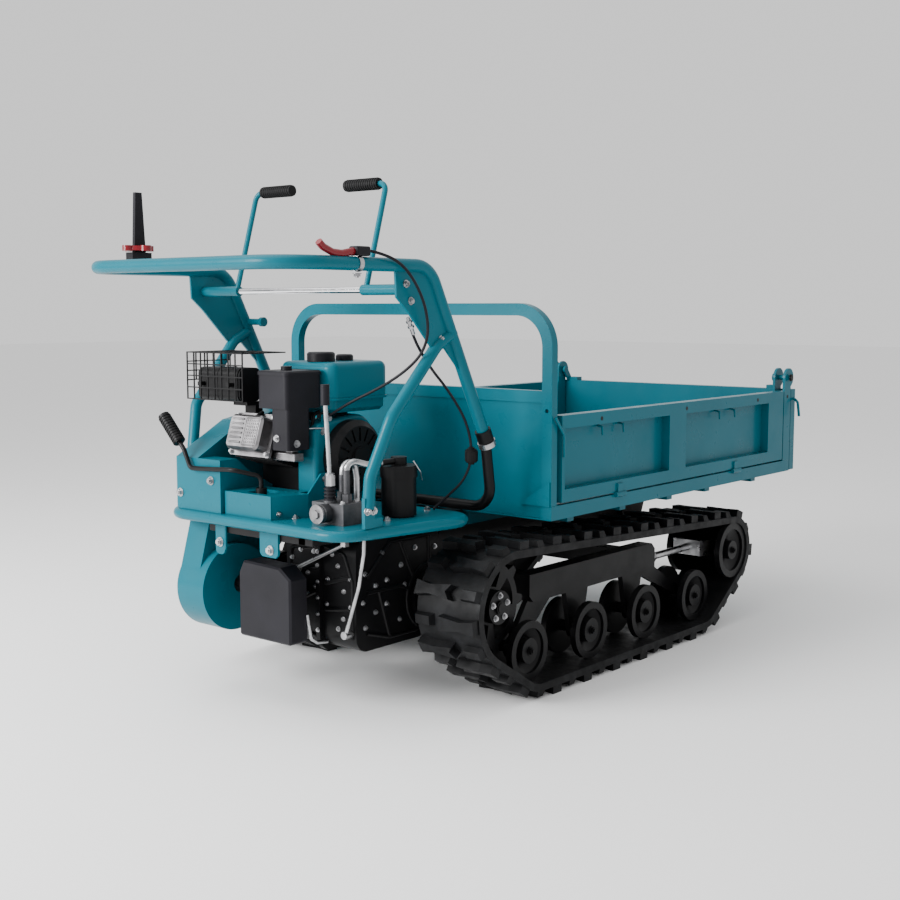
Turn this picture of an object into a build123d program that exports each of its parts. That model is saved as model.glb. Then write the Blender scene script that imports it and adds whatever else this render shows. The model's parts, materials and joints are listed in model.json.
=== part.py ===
from build123d import *
import math
import os

# Tracked power carrier: a walk-behind tracked dumper with a tipping box.
# Millimetres. +X points the way the box tips, +Y is the machine's left, +Z is up.
# The origin is on the ground, in the middle of the machine's length and width.

# Clearances
SEAT_GAP = 0.3
AXLE_FIT = 0.05
SIDE_CLEARANCE = 5.5

# Track loop
BELT_WIDTH = 200.0
BELT_OUTER_Y = 484.0
BELT_CARCASS = 20.0
LUG_HEIGHT = 22.0
LUG_PITCH = 72.0
LUG_HALF_END = 19.0
LUG_HALF_WAIST = 12.0
LUG_WAIST_AT = 44.0
LUG_FORK_DEPTH = 15.0
LUG_EDGE_INSET = 3.0
LUG_PAST_MIDDLE = 14.0
LUG_SINK = 2.0

# Wheels inside the loop: place along X, height, and radius of the belt's inner side there
SPROCKET_X = -444.0
SPROCKET_Z = 256.0
SPROCKET_SEAT_R = 133.0
IDLER_X = 713.0
IDLER_Z = 245.0
IDLER_SEAT_R = 88.0
ROLLER_FIRST_X = -330.0
ROLLER_SPACING = 290.0
ROLLER_COUNT = 4
ROLLER_R = 80.0
WHEEL_CLEARANCE = 0.3

# Rollers and idlers: two discs on one axle, the outer one dished
ROLLER_REACH = 59.0
IDLER_REACH = 95.0
DISC_THICKNESS = 18.0
DISH_DEPTH = 24.0
RIM_INNER_SHARE = 0.76
ROLLER_AXLE_R = 16.0
ROLLER_HUB_R = 34.0
IDLER_HUB_R = 30.0
IDLER_AXLE_R = 14.0

# Sprocket
SPROCKET_THICKNESS = 34.0
SPROCKET_TEETH = 9
SPROCKET_TOOTH_ROOT = 44.0
SPROCKET_TOOTH_FLANK_DEG = 72.0
SPROCKET_RIM_R = 112.0
SPROCKET_WINDOW_OUTER_R = 92.0
SPROCKET_WINDOW_INNER_R = 50.0
SPROCKET_WINDOWS = 5
SPROCKET_SPOKE_DEG = 22.0
SPROCKET_HUB_R = 44.0
SPROCKET_HUB_INNER = 30.0
SPROCKET_HUB_OUTER = 46.0
SPROCKET_SHAFT_R = 24.0

# Track side frame
SIDE_BEAM_HALF = 24.0
SIDE_BEAM_BOTTOM = 236.0
SIDE_BEAM_TOP = 312.0
SIDE_BEAM_REAR_X = -286.0
SIDE_BEAM_FRONT_X = 352.0
SIDE_BEAM_CHAMFER = 18.0
HANGER_HALF_TOP = 58.0
HANGER_HALF_BOTTOM = 30.0
HANGER_THICKNESS = 16.0
HANGER_OVERLAP = 10.0
TENSION_Z = 262.0
TENSION_ROD_R = 11.0
TENSION_NUT_R = 18.0
TENSION_NUT_LENGTH = 26.0
FORK_REAR_X = 585.0
FORK_PLATE = 10.0
FORK_Y = 42.0
FORK_HALF = 24.0
FORK_EYE_R = 26.0
FORK_WEB = 14.0

# Chassis frame under the box
RAIL_Y = 165.0
RAIL_WIDTH = 50.0
RAIL_BOTTOM = 330.0
RAIL_TOP = 424.0
RAIL_FRONT_X = 618.0
RAIL_TIE_LENGTH = 60.0
CROSS_TUBE_HALF = 26.0
CROSS_TUBE_Z = 274.0
CROSS_TUBE_REAR_X = -214.0
CROSS_TUBE_FRONT_X = 262.0
CROSS_POST_HALF = 25.0

# Tipping pivot and cylinder
PIVOT_X = 700.0
PIVOT_Z = 434.0
PIVOT_PIN_R = 12.0
PIVOT_PIN_PROUD = 6.0
PIVOT_EAR_R = 24.0
PIVOT_EAR_THICKNESS = 10.0
PIVOT_EAR_LENGTH = 130.0
PIVOT_EAR_UNDERSIDE = 388.0
CYL_FOOT_X = 600.0
CYL_FOOT_Z = 200.0
CYL_EYE_X = 450.0
CYL_EYE_Z = 430.0
CYL_BARREL_R = 30.0
CYL_BARREL_CAP_R = 34.0
CYL_BARREL_CAP = 20.0
CYL_ROD_R = 16.0
CYL_EYE_R = 22.0
CYL_PIN_R = 10.0
CYL_FOOT_HALF = 34.9
CYL_EYE_HALF = 21.0
CYL_EYE_SIDE_GAP = 0.6
CYL_BARREL_START = 26.0
CYL_BARREL_END = 228.0
CYL_BARREL_WALL_END = 20.0
CYL_EYE_SLOT_R = 18.0
CYL_LUG_THICKNESS = 8.0
CYL_LUG_R = 26.0
CYL_LUG_TIE = 20.0
CYL_LUG_TIE_HEIGHT = 50.0
CYL_EYE_LUG_R = 34.0

# Box
HEAD_X = -297.0
BOX_LENGTH = 1428.0
BOX_HALF_WIDTH = 484.0
FLOOR_BOTTOM = 466.0
FLOOR_SHEET = 4.0
SILL_HEIGHT = 37.0
SILL_WIDTH = 35.0
SUBRAIL_WIDTH = 50.0
SUBRAIL_REAR = 20.0
SUBRAIL_FRONT = 40.0
RIB_XS = (-160.0, 100.0, 360.0, 590.0, 900.0)
RIB_HALF = 15.0
RIB_DEPTH = 20.0
GATE_TOP = 738.0
GATE_THICKNESS = 34.0
GATE_RECESS = 26.0
GATE_SHEET = 4.0
GATE_TOP_RAIL = 34.0
GATE_BOTTOM_RAIL = 34.0
GATE_END_RAIL = 24.0
GATE_GAP = 5.5
GATE_HINGE_R = 7.0
GATE_HINGE_LENGTH = 52.0
GATE_HINGE_OUT = 4.0
GATE_HINGE_PIN_R = 3.5
GATE_HINGE_XS = (28.0, 707.0)
GATE_HINGE_GAP = 0.5
GATE_HINGE_STRAP = 24.0
GATE_REAR = 46.0
# Side gate's recessed fields: start and end behind the headboard's face
GATE_FIELDS = ((60.0, 594.0), (690.0, 1230.0))

# Headboard and its hoop
HOOP_TOP = 1029.0
HOOP_BAR = 32.0
HOOP_DEPTH = 25.0
HOOP_CORNER_R = 115.0
HOOP_HOLE_R = 5.5
HOOP_HOLE_Z = 752.0
HEAD_SHEET = 4.0
HEAD_SHEET_INSET = 6.0
HEAD_FOLD_Z = 803.0
HEAD_FLANGE = 22.0
HEAD_LIP = 31.0
HEAD_LIP_PROUD = 4.0
CORNER_PLATE = 4.0
CORNER_PLATE_TOP = 568.0
CORNER_PLATE_REACH = 100.0

# Front posts and front gate
POST_X = 1046.0
POST_LENGTH = 48.0
POST_THICKNESS = 44.0
EAR_R = 32.0
EAR_PLATE = 8.0
FRONT_GATE_TOP = 742.0
FRONT_GATE_FACE = 6.0
FRONT_GATE_END_RAIL = 60.0
FRONT_GATE_MID_HALF = 34.0
FRONT_PIN_X = 1080.0
FRONT_PIN_Z = 782.0
FRONT_PIN_R = 8.0
FRONT_PIN_PROUD = 6.0
FRONT_ARM_THICKNESS = 8.0
FRONT_ARM_R = 13.0
FRONT_ARM_DEPTH = 30.0
STEP_BLOCK_WIDTH = 36.0
STEP_BLOCK_HEIGHT = 12.0

# Control frame
HANDLE_TUBE_R = 16.0
HANDLE_Z = 1116.0
HANDLE_REAR_X = -1131.0
HANDLE_HALF = 370.0
HANDLE_BEND_X = -650.0
HANDLE_CORNER_R = 110.0
HANDLE_DROP_R = 75.0
LEG_BOTTOM_X = -432.0
LEG_BOTTOM_Z = 690.0
LOWER_LEG_R = 14.0
LOWER_LEG_Z = 503.0
LOWER_LEG_X = -402.0
LOWER_LEG_BEND_R = 60.0
COLLAR_R = 21.0
COLLAR_HALF = 20.0
REAR_LEG_R = 15.0
REAR_FOOT_X = -812.0
REAR_FOOT_Y = HANDLE_HALF - 44.0
REAR_FOOT_TOP = 572.0
REAR_FOOT_HALF = 18.0
GUSSET_THICKNESS = 6.0
STUB_X = -575.0
STUB_Z = 978.0
STUB_R = 9.0
STUB_KNOB_R = 13.0
STUB_LENGTH = 62.0

# Deck behind the box
DECK_TOP = 498.0
DECK_SHEET = 5.0
DECK_RIM_R = 14.0
DECK_REAR_X = -915.0
DECK_FRONT_X = -469.0
DECK_REAR_HALF = REAR_FOOT_Y - 4.0
DECK_FRONT_HALF = HANDLE_HALF + 35.0
DECK_CORNER_R = 70.0
HANGER_LUG_THICKNESS = 7.0

# Beams that carry the deck
DECK_BEAM_REAR_X = -870.0
DECK_BEAM_FRONT_X = -300.0
DECK_BEAM_BOTTOM = 444.7
DECK_TIE_X = -620.0
DECK_TIE_HALF = 20.0
DECK_HANGER_PLATE = 8.0
DECK_HANGER_BOTTOM = 400.0

# Levers
LEVER_SHAFT_X = -725.0
LEVER_SHAFT_Z = 1060.0
LEVER_SHAFT_R = 8.0
LEVER_BOSS_R = 13.0
LEVER_Y = 234.0
LEVER_ROD_R = 7.0
LEVER_BEND_R = 22.0
LEVER_TOP_X = -649.0
LEVER_TOP_Z = 1320.0
GRIP_R = 14.0
GRIP_LENGTH = 112.0
GRIP_START = 24.0
GRIP_END_WALL = 6.0

# Engine: crankshaft across the machine, cylinder slanted up towards the rear
CRANK_X = -632.0
CRANK_Z = 637.0
ENGINE_BASE_Z = 531.0
CASE_RIGHT_Y = -20.0
CASE_LEFT_Y = 158.0
CASE_REAR = 80.0
CASE_FRONT = 95.0
CASE_HEIGHT = 84.0
CASE_EDGE_R = 22.0
OUTPUT_SHAFT_R = 14.0
CYLINDER_SLANT = 18.0
CYLINDER_Y = 82.0
CYLINDER_WIDTH = 128.0
CYLINDER_DEPTH = 104.0
CYLINDER_START = 60.0
CYLINDER_END = 180.0
FIN_COUNT = 5
FIN_FIRST = 96.0
FIN_SPACING = 18.0
FIN_THICKNESS = 4.0
FIN_PROUD = 6.0
ROCKER_FLANGE_WIDTH = 146.0
ROCKER_FLANGE_DEPTH = 112.0
ROCKER_FLANGE = 8.0
ROCKER_HEIGHT = 40.0
TANK_BOTTOM = 752.0
TANK_SEAM_Z = 790.0
TANK_TOP = 880.0
TANK_REAR_X = -714.0
TANK_FRONT_X = -500.0
TANK_RIGHT_Y = -104.0
TANK_LEFT_Y = 92.0
TANK_SEAM_LIP = 3.0
TANK_SEAM = 6.0
TANK_CORNER_R = 26.0
TANK_TOP_R = 18.0
TANK_INSET = 6.0
CAP_Y = -20.0
# Caps on the tank: X, radius, height
TANK_CAPS = ((-668.0, 36.0, 24.0), (-582.0, 23.0, 16.0))
AIR_REAR_X = -842.0
AIR_FRONT_X = -721.0
AIR_RIGHT_Y = -76.0
AIR_LEFT_Y = 32.0
AIR_TOP = 852.0
AIR_SHOULDER = 768.0
AIR_BOTTOM = 665.0
AIR_LOWER_FRONT_X = -761.0
AIR_LOWER_LEFT_Y = -13.0
AIR_LID = 10.0
AIR_LID_PROUD = 3.0
MUFFLER_REAR_X = -850.0
MUFFLER_FRONT_X = -770.0
MUFFLER_RIGHT_Y = 92.0
MUFFLER_LEFT_Y = 252.0
MUFFLER_BOTTOM = 778.0
MUFFLER_TOP = 866.0
MUFFLER_EDGE_R = 18.0
MUFFLER_SEAM = 5.0
EXHAUST_FLANGE = 9.0
GUARD_WIRE = 3.0
GUARD_REAR_X = -864.0
GUARD_FRONT_X = -719.0
GUARD_RIGHT_Y = 60.0
GUARD_LEFT_Y = 274.0
GUARD_BOTTOM = 783.0
GUARD_TOP = 903.0
GUARD_PITCH = 27.0
SHROUD_FACE_Y = -84.0
SHROUD_EDGE_R = 12.0
# Corner circles of the fan shroud's outline: X, Z, radius
SHROUD_CORNERS = ((-722.0, 561.0, 30.0), (-722.0, 700.0, 30.0), (-604.0, 676.0, 68.0), (-566.0, 571.0, 40.0))
RECOIL_R = 95.0
RECOIL_FACE_R = 80.0
RECOIL_FACE_Y = -128.0
RECOIL_SHOULDER_Y = -108.0
RECOIL_HUB_R = 26.0
RECOIL_SLOTS = 16
RECOIL_SLOT_WIDTH = 6.0
RECOIL_SLOT_LENGTH = 34.0
RECOIL_SLOT_DEPTH = 5.0

# Gearbox and drive line
GEARBOX_REAR_X = -722.0
GEARBOX_FRONT_X = -400.0
GEARBOX_BOTTOM = 150.0
GEARBOX_TOP = 440.0
GEARBOX_RIGHT_Y = -190.0
GEARBOX_LEFT_Y = 60.0
GEARBOX_EDGE_R = 40.0
GEARBOX_SPLIT_Y = -66.0
GEARBOX_FLANGE = 14.0
GEARBOX_FLANGE_PROUD = 12.0
AXLE_HOUSING_R = 62.0
AXLE_HOUSING_GAP = 6.0
AXLE_FLANGE_R = 70.0
AXLE_FLANGE = 14.0
AXLE_STAY_BOTTOM = 182.0
AXLE_STAY_Y = 331.0
AXLE_STAY_HALF = 18.0
AXLE_STAY = 13.0
INPUT_X = -767.0
INPUT_Z = 288.0
INPUT_R = 24.0
TANK_NECK_TOP = 330.0
TANK_NECK_BOTTOM = 250.0
OIL_TANK_REAR_X = -857.0
OIL_TANK_FRONT_X = -800.0
COVER_X = -782.0
COVER_Z = 282.0
COVER_R = 115.0
COVER_RIGHT_Y = 189.0
COVER_NECK_Y = 218.0
COVER_LEFT_Y = 301.0
COVER_NECK_X = -745.0
COVER_NECK_WIDTH = 200.0
COVER_NECK_Z = 468.0
HOUSING_REAR_X = -897.0
HOUSING_FRONT_X = -540.0
HOUSING_REAR_TOP = 634.0
HOUSING_TOP = 745.0
HOUSING_LEFT_Y = 296.0
HOUSING_STEP_Y = 200.0
HOUSING_RIGHT_Y = 113.0
HOUSING_EDGE_R = 16.0

# Console and engine base
CONSOLE_REAR_X = -887.0
CONSOLE_FRONT_X = -762.0
CONSOLE_RIGHT_Y = -62.0
CONSOLE_LEFT_Y = 108.0
CONSOLE_TOP = 557.0
CHEEK_TURN_X = -796.0
CHEEK_FRONT_X = -724.0
CHEEK_Y = -100.0
CHEEK_TOP = 604.0
CHEEK_SHEET = 5.0
CONSOLE_SLOT = 8.0
BASE_REAR_X = -712.0
BASE_FRONT_X = -520.0
BASE_RIGHT_Y = -60.0
BASE_LEFT_Y = 150.0

# Hydraulics on the deck's right
FILTER_X = -631.0
FILTER_Y = -254.0
FILTER_CAN_R = 44.0
FILTER_HEAD_R = 47.0
FILTER_HEAD_Z = 598.0
FILTER_TOP = 627.0
FILTER_PORT_R = 20.0
FILTER_PORT_Z = 638.0
FILTER_PIPE_R = 8.0
FILTER_PIPE_END_X = -700.0
VALVE_REAR_X = -838.0
VALVE_FRONT_X = -762.0
VALVE_RIGHT_Y = -262.0
VALVE_LEFT_Y = -156.0
VALVE_TOP = 550.0
VALVE_SPOOL_X = -826.0
VALVE_SPOOL_Y = -206.0
VALVE_CAP_R = 23.0
VALVE_CAP_LENGTH = 30.0
VALVE_BELLOWS_TOP = 590.0
VALVE_NUT_TOP = 618.0
# Standing hose fittings on the valve: X, Y, top
VALVE_FITTINGS = ((-796.0, -232.0, 628.0), (-772.0, -196.0, 612.0))
# Operator's controls and the engine's stands
HANGER_LUG_R = 14.0
GUSSET_OUTLINE = (
    (-772.0, HANDLE_Z - 6.0), (-640.0, HANDLE_Z - 6.0), (-506.0, 850.0), (-520.0, 846.0),
    (-600.0, 925.0), (-646.0, 925.0), (-730.0, 1010.0), (-768.0, 1042.0),
)
REAR_LEG_START_X = -560.0
REAR_LEG_START_Z = 958.0
REAR_LEG_TURN_X = -622.0
REAR_LEG_TURN_Z = 925.0
REAR_LEG_LOW_X = -770.0
REAR_LEG_LOW_Z = 760.0
REAR_LEG_SPREAD = 30.0
REAR_LEG_END_Z = 620.0
REAR_FOOT_LUG = 22.0
REAR_FOOT_PLATE_HALF = 5.0
TANK_MOUNT_XS = (CRANK_X - 58.0, CRANK_X + 64.0)
# Oil tank's outline: Y, Z
OIL_TANK_OUTLINE = ((-94.0, 181.0), (96.0, 181.0), (96.0, 346.0), (79.0, 378.0), (-55.0, 374.0), (-94.0, 346.0))
# Rods behind the gearbox: Y, Z of their corners
LINK_X = -742.0
LINK_R = 5.0
LINK_BOSS_R = 10.0
SHIFT_ROD = ((-240.0, DECK_TOP - DECK_SHEET - SEAT_GAP), (-237.0, 415.0), (-219.0, 329.0), (-172.0, 200.0))
CLUTCH_ROD = ((-172.0, 432.0), (13.0, 345.0))
GEAR_LEVER_X = -852.0
GEAR_LEVER_Y = 10.0
GEAR_LEVER_R = 6.0
GEAR_BOOT_R = 14.0
BRAKE_X = -938.0
BRAKE_TOP = 1311.0
LOCK_Z = 1169.0
LOCK_R = 32.0
# Throttle lever's side outline: X, Z
THROTTLE_OUTLINE = (
    (-1024.0, 1158.0), (-1022.0, 1166.0), (-982.0, 1152.0), (-935.0, 1145.0), (-893.0, 1151.0),
    (-867.0, 1151.0), (-867.0, 1141.0), (-893.0, 1139.0), (-935.0, 1135.0), (-984.0, 1142.0),
)


def box(x0, x1, y0, y1, z0, z1):
    """Box between two corners."""
    middle = Pos((x0 + x1) / 2, (y0 + y1) / 2, (z0 + z1) / 2)
    return middle * Box(abs(x1 - x0), abs(y1 - y0), abs(z1 - z0))


def cyl_y(x, z, r, y0, y1):
    """Cylinder along Y."""
    return Pos(x, (y0 + y1) / 2, z) * Rot(90, 0, 0) * Cylinder(r, abs(y1 - y0))


def cyl_x(y, z, r, x0, x1):
    """Cylinder along X."""
    return Pos((x0 + x1) / 2, y, z) * Rot(0, 90, 0) * Cylinder(r, abs(x1 - x0))


def cyl_z(x, y, r, z0, z1):
    """Cylinder along Z."""
    return Pos(x, y, (z0 + z1) / 2) * Cylinder(r, abs(z1 - z0))


def side_plane(y):
    """Drawing plane across Y: local x is +X and local y is +Z."""
    return Plane(origin=(0, y, 0), x_dir=(1, 0, 0), z_dir=(0, -1, 0))


def rear_plane(x):
    """Drawing plane across X: local x is +Y and local y is +Z."""
    return Plane(origin=(x, 0, 0), x_dir=(0, 1, 0), z_dir=(1, 0, 0))


def side_plate(points, y0, y1):
    """Flat plate with an outline in X and Z."""
    face = make_face(Polyline(*points, close=True))
    return extrude(side_plane(max(y0, y1)) * face, abs(y1 - y0))


def rear_plate(points, x0, x1):
    """Flat plate with an outline in Y and Z."""
    face = make_face(Polyline(*points, close=True))
    return extrude(rear_plane(min(x0, x1)) * face, abs(x1 - x0))


def side_hull(circles, y0, y1):
    """Plate whose outline wraps circles given as X, Z and radius."""
    outline = make_hull([(Pos(x, z) * Circle(r)).edge() for x, z, r in circles])
    return extrude(side_plane(max(y0, y1)) * outline, abs(y1 - y0))


def spun(x, z, outline):
    """Solid turned about a line along Y from an outline of radius and Y."""
    plane = Plane(origin=(x, 0, z), x_dir=(1, 0, 0), z_dir=(0, 0, 1))
    face = plane * make_face(Polyline(*outline, close=True))
    return revolve(face, axis=Axis((x, 0, z), (0, 1, 0)))


def tube(points, radii, r):
    """Round bar along straight runs joined by tangent arcs."""
    path = FilletPolyline(*points, radius=radii)
    section = Plane(origin=path @ 0, z_dir=path % 0) * Circle(r)
    return sweep(section, path=path)


def mirrored(shape):
    """The same shape on the other side of the machine."""
    return mirror(shape, about=Plane.XZ)


def both(shape):
    """The shape and its mirror image, as separate solids."""
    return Compound(children=[*Compound([shape]).solids(), *Compound([mirrored(shape)]).solids()])


TRACK_Y = BELT_OUTER_Y - BELT_WIDTH / 2
TRACK_INNER_Y = BELT_OUTER_Y - BELT_WIDTH
ROLLER_Z = LUG_HEIGHT + BELT_CARCASS + ROLLER_R
ROLLER_XS = [ROLLER_FIRST_X + ROLLER_SPACING * i for i in range(ROLLER_COUNT)]
CARCASS_CENTRE = Vector((SPROCKET_X + IDLER_X) / 2, 0, (SPROCKET_Z + IDLER_Z) / 2)


def belt_outline(offset):
    """Face inside the belt's inner side, grown outward by offset."""
    # Columns: X, Z, seat radius
    wheels = [
        (SPROCKET_X, SPROCKET_Z, SPROCKET_SEAT_R),
        (ROLLER_XS[0], ROLLER_Z, ROLLER_R),
        (ROLLER_XS[-1], ROLLER_Z, ROLLER_R),
        (IDLER_X, IDLER_Z, IDLER_SEAT_R),
    ]
    return make_hull([(Pos(x, z) * Circle(r + offset)).edge() for x, z, r in wheels])


def lug_face():
    """Lug's outline: waisted bar from the belt's edge to a forked end past its middle."""
    length = BELT_WIDTH / 2 - LUG_EDGE_INSET + LUG_PAST_MIDDLE
    outline = [
        (-LUG_HALF_END, 0),
        (LUG_HALF_END, 0),
        (LUG_HALF_WAIST, LUG_WAIST_AT),
        (LUG_HALF_END, length),
        (0, length - LUG_FORK_DEPTH),
        (-LUG_HALF_END, length),
        (-LUG_HALF_WAIST, LUG_WAIST_AT),
    ]
    return make_face(Polyline(*outline, close=True))


def track():
    """Rubber track on the left: carcass and one staggered lug per pitch."""
    outer = belt_outline(BELT_CARCASS)
    carcass = extrude(side_plane(BELT_OUTER_Y) * (outer - belt_outline(0)), BELT_WIDTH)
    wire = outer.face().outer_wire()
    count = 2 * round(wire.length / LUG_PITCH / 2)
    face = lug_face()
    lugs = []
    for i in range(count):
        at = wire @ (i / count)
        along = wire % (i / count)
        side = 1 if i % 2 else -1
        outward = Vector(along.Y, 0, -along.X)
        foot = Vector(at.X, TRACK_Y + side * (BELT_WIDTH / 2 - LUG_EDGE_INSET), at.Y)
        if (foot - CARCASS_CENTRE).dot(outward) < 0:
            outward = outward * -1
        across = Vector(0, -side, 0)
        plane = Plane(origin=foot, x_dir=across.cross(outward), z_dir=outward)
        lugs.append(extrude(plane.offset(-LUG_SINK) * face, LUG_SINK + LUG_HEIGHT))
    return carcass.fuse(*lugs)


def ring_sector(r0, r1, start, sweep_deg):
    """Flat ring sector."""
    turns = [math.radians(start + sweep_deg * share) for share in (0, 0.5, 1)]
    inner = [(r0 * math.cos(a), r0 * math.sin(a)) for a in turns]
    outer = [(r1 * math.cos(a), r1 * math.sin(a)) for a in turns]
    return make_face([
        ThreePointArc(*inner),
        Line(inner[2], outer[2]),
        ThreePointArc(*outer[::-1]),
        Line(outer[0], inner[0]),
    ])


def sprocket():
    """Drive sprocket with teeth, windows and a bolted hub."""
    tooth_height = 2 * (SPROCKET_SEAT_R - WHEEL_CLEARANCE - SPROCKET_RIM_R) - 1
    tooth = Pos(SPROCKET_RIM_R, 0) * Rot(0, 0, -90) * Trapezoid(
        SPROCKET_TOOTH_ROOT, tooth_height, SPROCKET_TOOTH_FLANK_DEG)
    disc = Circle(SPROCKET_RIM_R)
    for i in range(SPROCKET_TEETH):
        disc += Rot(0, 0, i * 360 / SPROCKET_TEETH) * tooth
    window_deg = 360 / SPROCKET_WINDOWS - SPROCKET_SPOKE_DEG
    for i in range(SPROCKET_WINDOWS):
        start = 90 + i * 360 / SPROCKET_WINDOWS - window_deg / 2
        disc -= ring_sector(SPROCKET_WINDOW_INNER_R, SPROCKET_WINDOW_OUTER_R, start, window_deg)
    outer_face = side_plane(TRACK_Y + SPROCKET_THICKNESS / 2)
    wheel = extrude(outer_face * Pos(SPROCKET_X, SPROCKET_Z) * disc, SPROCKET_THICKNESS)
    return wheel + cyl_y(SPROCKET_X, SPROCKET_Z, SPROCKET_HUB_R,
                         TRACK_Y - SPROCKET_HUB_INNER, TRACK_Y + SPROCKET_HUB_OUTER)


def twin_disc_wheel(x, z, r, hub_r, axle_r, reach):
    """Dished outer disc and flat inner disc on one axle, on the left track."""
    outer = TRACK_Y + reach
    inner = TRACK_Y - reach
    dish_r = r * RIM_INNER_SHARE
    return spun(x, z, [
        (0, outer),
        (hub_r, outer),
        (hub_r, outer - DISH_DEPTH),
        (dish_r, outer - DISC_THICKNESS / 2),
        (dish_r, outer),
        (r, outer),
        (r, outer - DISC_THICKNESS),
        (axle_r, outer - DISC_THICKNESS - DISH_DEPTH),
        (axle_r, inner + DISC_THICKNESS),
        (r, inner + DISC_THICKNESS),
        (r, inner),
        (0, inner),
    ])


def rollers():
    """Bottom rollers of the left track."""
    r = ROLLER_R - WHEEL_CLEARANCE
    return [twin_disc_wheel(x, ROLLER_Z, r, ROLLER_HUB_R, ROLLER_AXLE_R, ROLLER_REACH) for x in ROLLER_XS]


def idler():
    """Front idler wheel."""
    r = IDLER_SEAT_R - WHEEL_CLEARANCE
    return twin_disc_wheel(IDLER_X, IDLER_Z, r, IDLER_HUB_R, IDLER_AXLE_R, IDLER_REACH)


def track_frame():
    """Side beam over the rollers with a hanger down to each roller axle."""
    edge = SIDE_BEAM_CHAMFER
    beam = side_plate([
        (SIDE_BEAM_REAR_X, SIDE_BEAM_BOTTOM + edge),
        (SIDE_BEAM_REAR_X + edge, SIDE_BEAM_BOTTOM),
        (SIDE_BEAM_FRONT_X, SIDE_BEAM_BOTTOM),
        (SIDE_BEAM_FRONT_X, SIDE_BEAM_TOP - edge),
        (SIDE_BEAM_FRONT_X - edge, SIDE_BEAM_TOP),
        (SIDE_BEAM_REAR_X, SIDE_BEAM_TOP),
    ], TRACK_Y - SIDE_BEAM_HALF, TRACK_Y + SIDE_BEAM_HALF)
    y0 = TRACK_Y - HANGER_THICKNESS / 2
    y1 = TRACK_Y + HANGER_THICKNESS / 2
    top = SIDE_BEAM_BOTTOM + HANGER_OVERLAP
    for x in ROLLER_XS:
        rear_end = SIDE_BEAM_REAR_X + HANGER_HALF_TOP + edge
        front_end = SIDE_BEAM_FRONT_X - HANGER_HALF_TOP
        top_x = min(max(x, rear_end), front_end)
        hanger = side_plate([
            (top_x - HANGER_HALF_TOP, top),
            (x - HANGER_HALF_BOTTOM, ROLLER_Z),
            (x + HANGER_HALF_BOTTOM, ROLLER_Z),
            (top_x + HANGER_HALF_TOP, top),
        ], y0, y1)
        hanger += cyl_y(x, ROLLER_Z, HANGER_HALF_BOTTOM, y0, y1)
        beam += hanger - cyl_y(x, ROLLER_Z, ROLLER_AXLE_R + AXLE_FIT, y0 - 1, y1 + 1)
    return beam


def tensioner():
    """Idler fork, rod and adjusting nut ahead of the side beam."""
    fork = box(FORK_REAR_X, FORK_REAR_X + FORK_WEB,
               TRACK_Y - FORK_Y - FORK_PLATE / 2, TRACK_Y + FORK_Y + FORK_PLATE / 2,
               TENSION_Z - FORK_HALF, TENSION_Z + FORK_HALF)
    for side in (-1, 1):
        y0 = TRACK_Y + side * FORK_Y - FORK_PLATE / 2
        y1 = y0 + FORK_PLATE
        plate = side_plate([
            (FORK_REAR_X, TENSION_Z + FORK_HALF),
            (FORK_REAR_X, TENSION_Z - FORK_HALF),
            (IDLER_X, IDLER_Z - FORK_EYE_R),
            (IDLER_X, IDLER_Z + FORK_EYE_R),
        ], y0, y1)
        plate += cyl_y(IDLER_X, IDLER_Z, FORK_EYE_R, y0, y1)
        fork += plate - cyl_y(IDLER_X, IDLER_Z, IDLER_AXLE_R + AXLE_FIT, y0 - 1, y1 + 1)
    rod = cyl_x(TRACK_Y, TENSION_Z, TENSION_ROD_R, SIDE_BEAM_FRONT_X, FORK_REAR_X + 1)
    nut = extrude(rear_plane(SIDE_BEAM_FRONT_X) * Pos(TRACK_Y, TENSION_Z) * RegularPolygon(TENSION_NUT_R, 6),
                  TENSION_NUT_LENGTH)
    return fork + rod + nut


RAIL_REAR_X = GEARBOX_FRONT_X + SEAT_GAP


def rail_with_ear(side):
    """One rail with the ear and pin of the tipping pivot at its front."""
    rail_y = side * RAIL_Y
    half = RAIL_WIDTH / 2
    ear_in = rail_y + side * (half + SIDE_CLEARANCE)
    ear_out = ear_in + side * PIVOT_EAR_THICKNESS
    ear_rear = RAIL_FRONT_X - PIVOT_EAR_LENGTH
    rail = box(RAIL_REAR_X, RAIL_FRONT_X, rail_y - half, rail_y + half, RAIL_BOTTOM, RAIL_TOP)
    ear = side_plate([
        (ear_rear, RAIL_BOTTOM),
        (RAIL_FRONT_X - half, RAIL_BOTTOM),
        (RAIL_FRONT_X, PIVOT_EAR_UNDERSIDE),
        (PIVOT_X, PIVOT_Z - PIVOT_EAR_R),
        (PIVOT_X, PIVOT_Z + PIVOT_EAR_R),
        (RAIL_FRONT_X, RAIL_TOP),
        (ear_rear, RAIL_TOP),
    ], ear_in, ear_out)
    ear += cyl_y(PIVOT_X, PIVOT_Z, PIVOT_EAR_R, ear_in, ear_out)
    spacer = box(ear_rear, RAIL_FRONT_X - half, rail_y + side * (half - 1), ear_in + side, RAIL_BOTTOM, RAIL_TOP)
    pin = cyl_y(PIVOT_X, PIVOT_Z, PIVOT_PIN_R, rail_y - side * (half + PIVOT_PIN_PROUD),
                ear_out + side * PIVOT_PIN_PROUD)
    return rail + ear + spacer + pin


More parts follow.
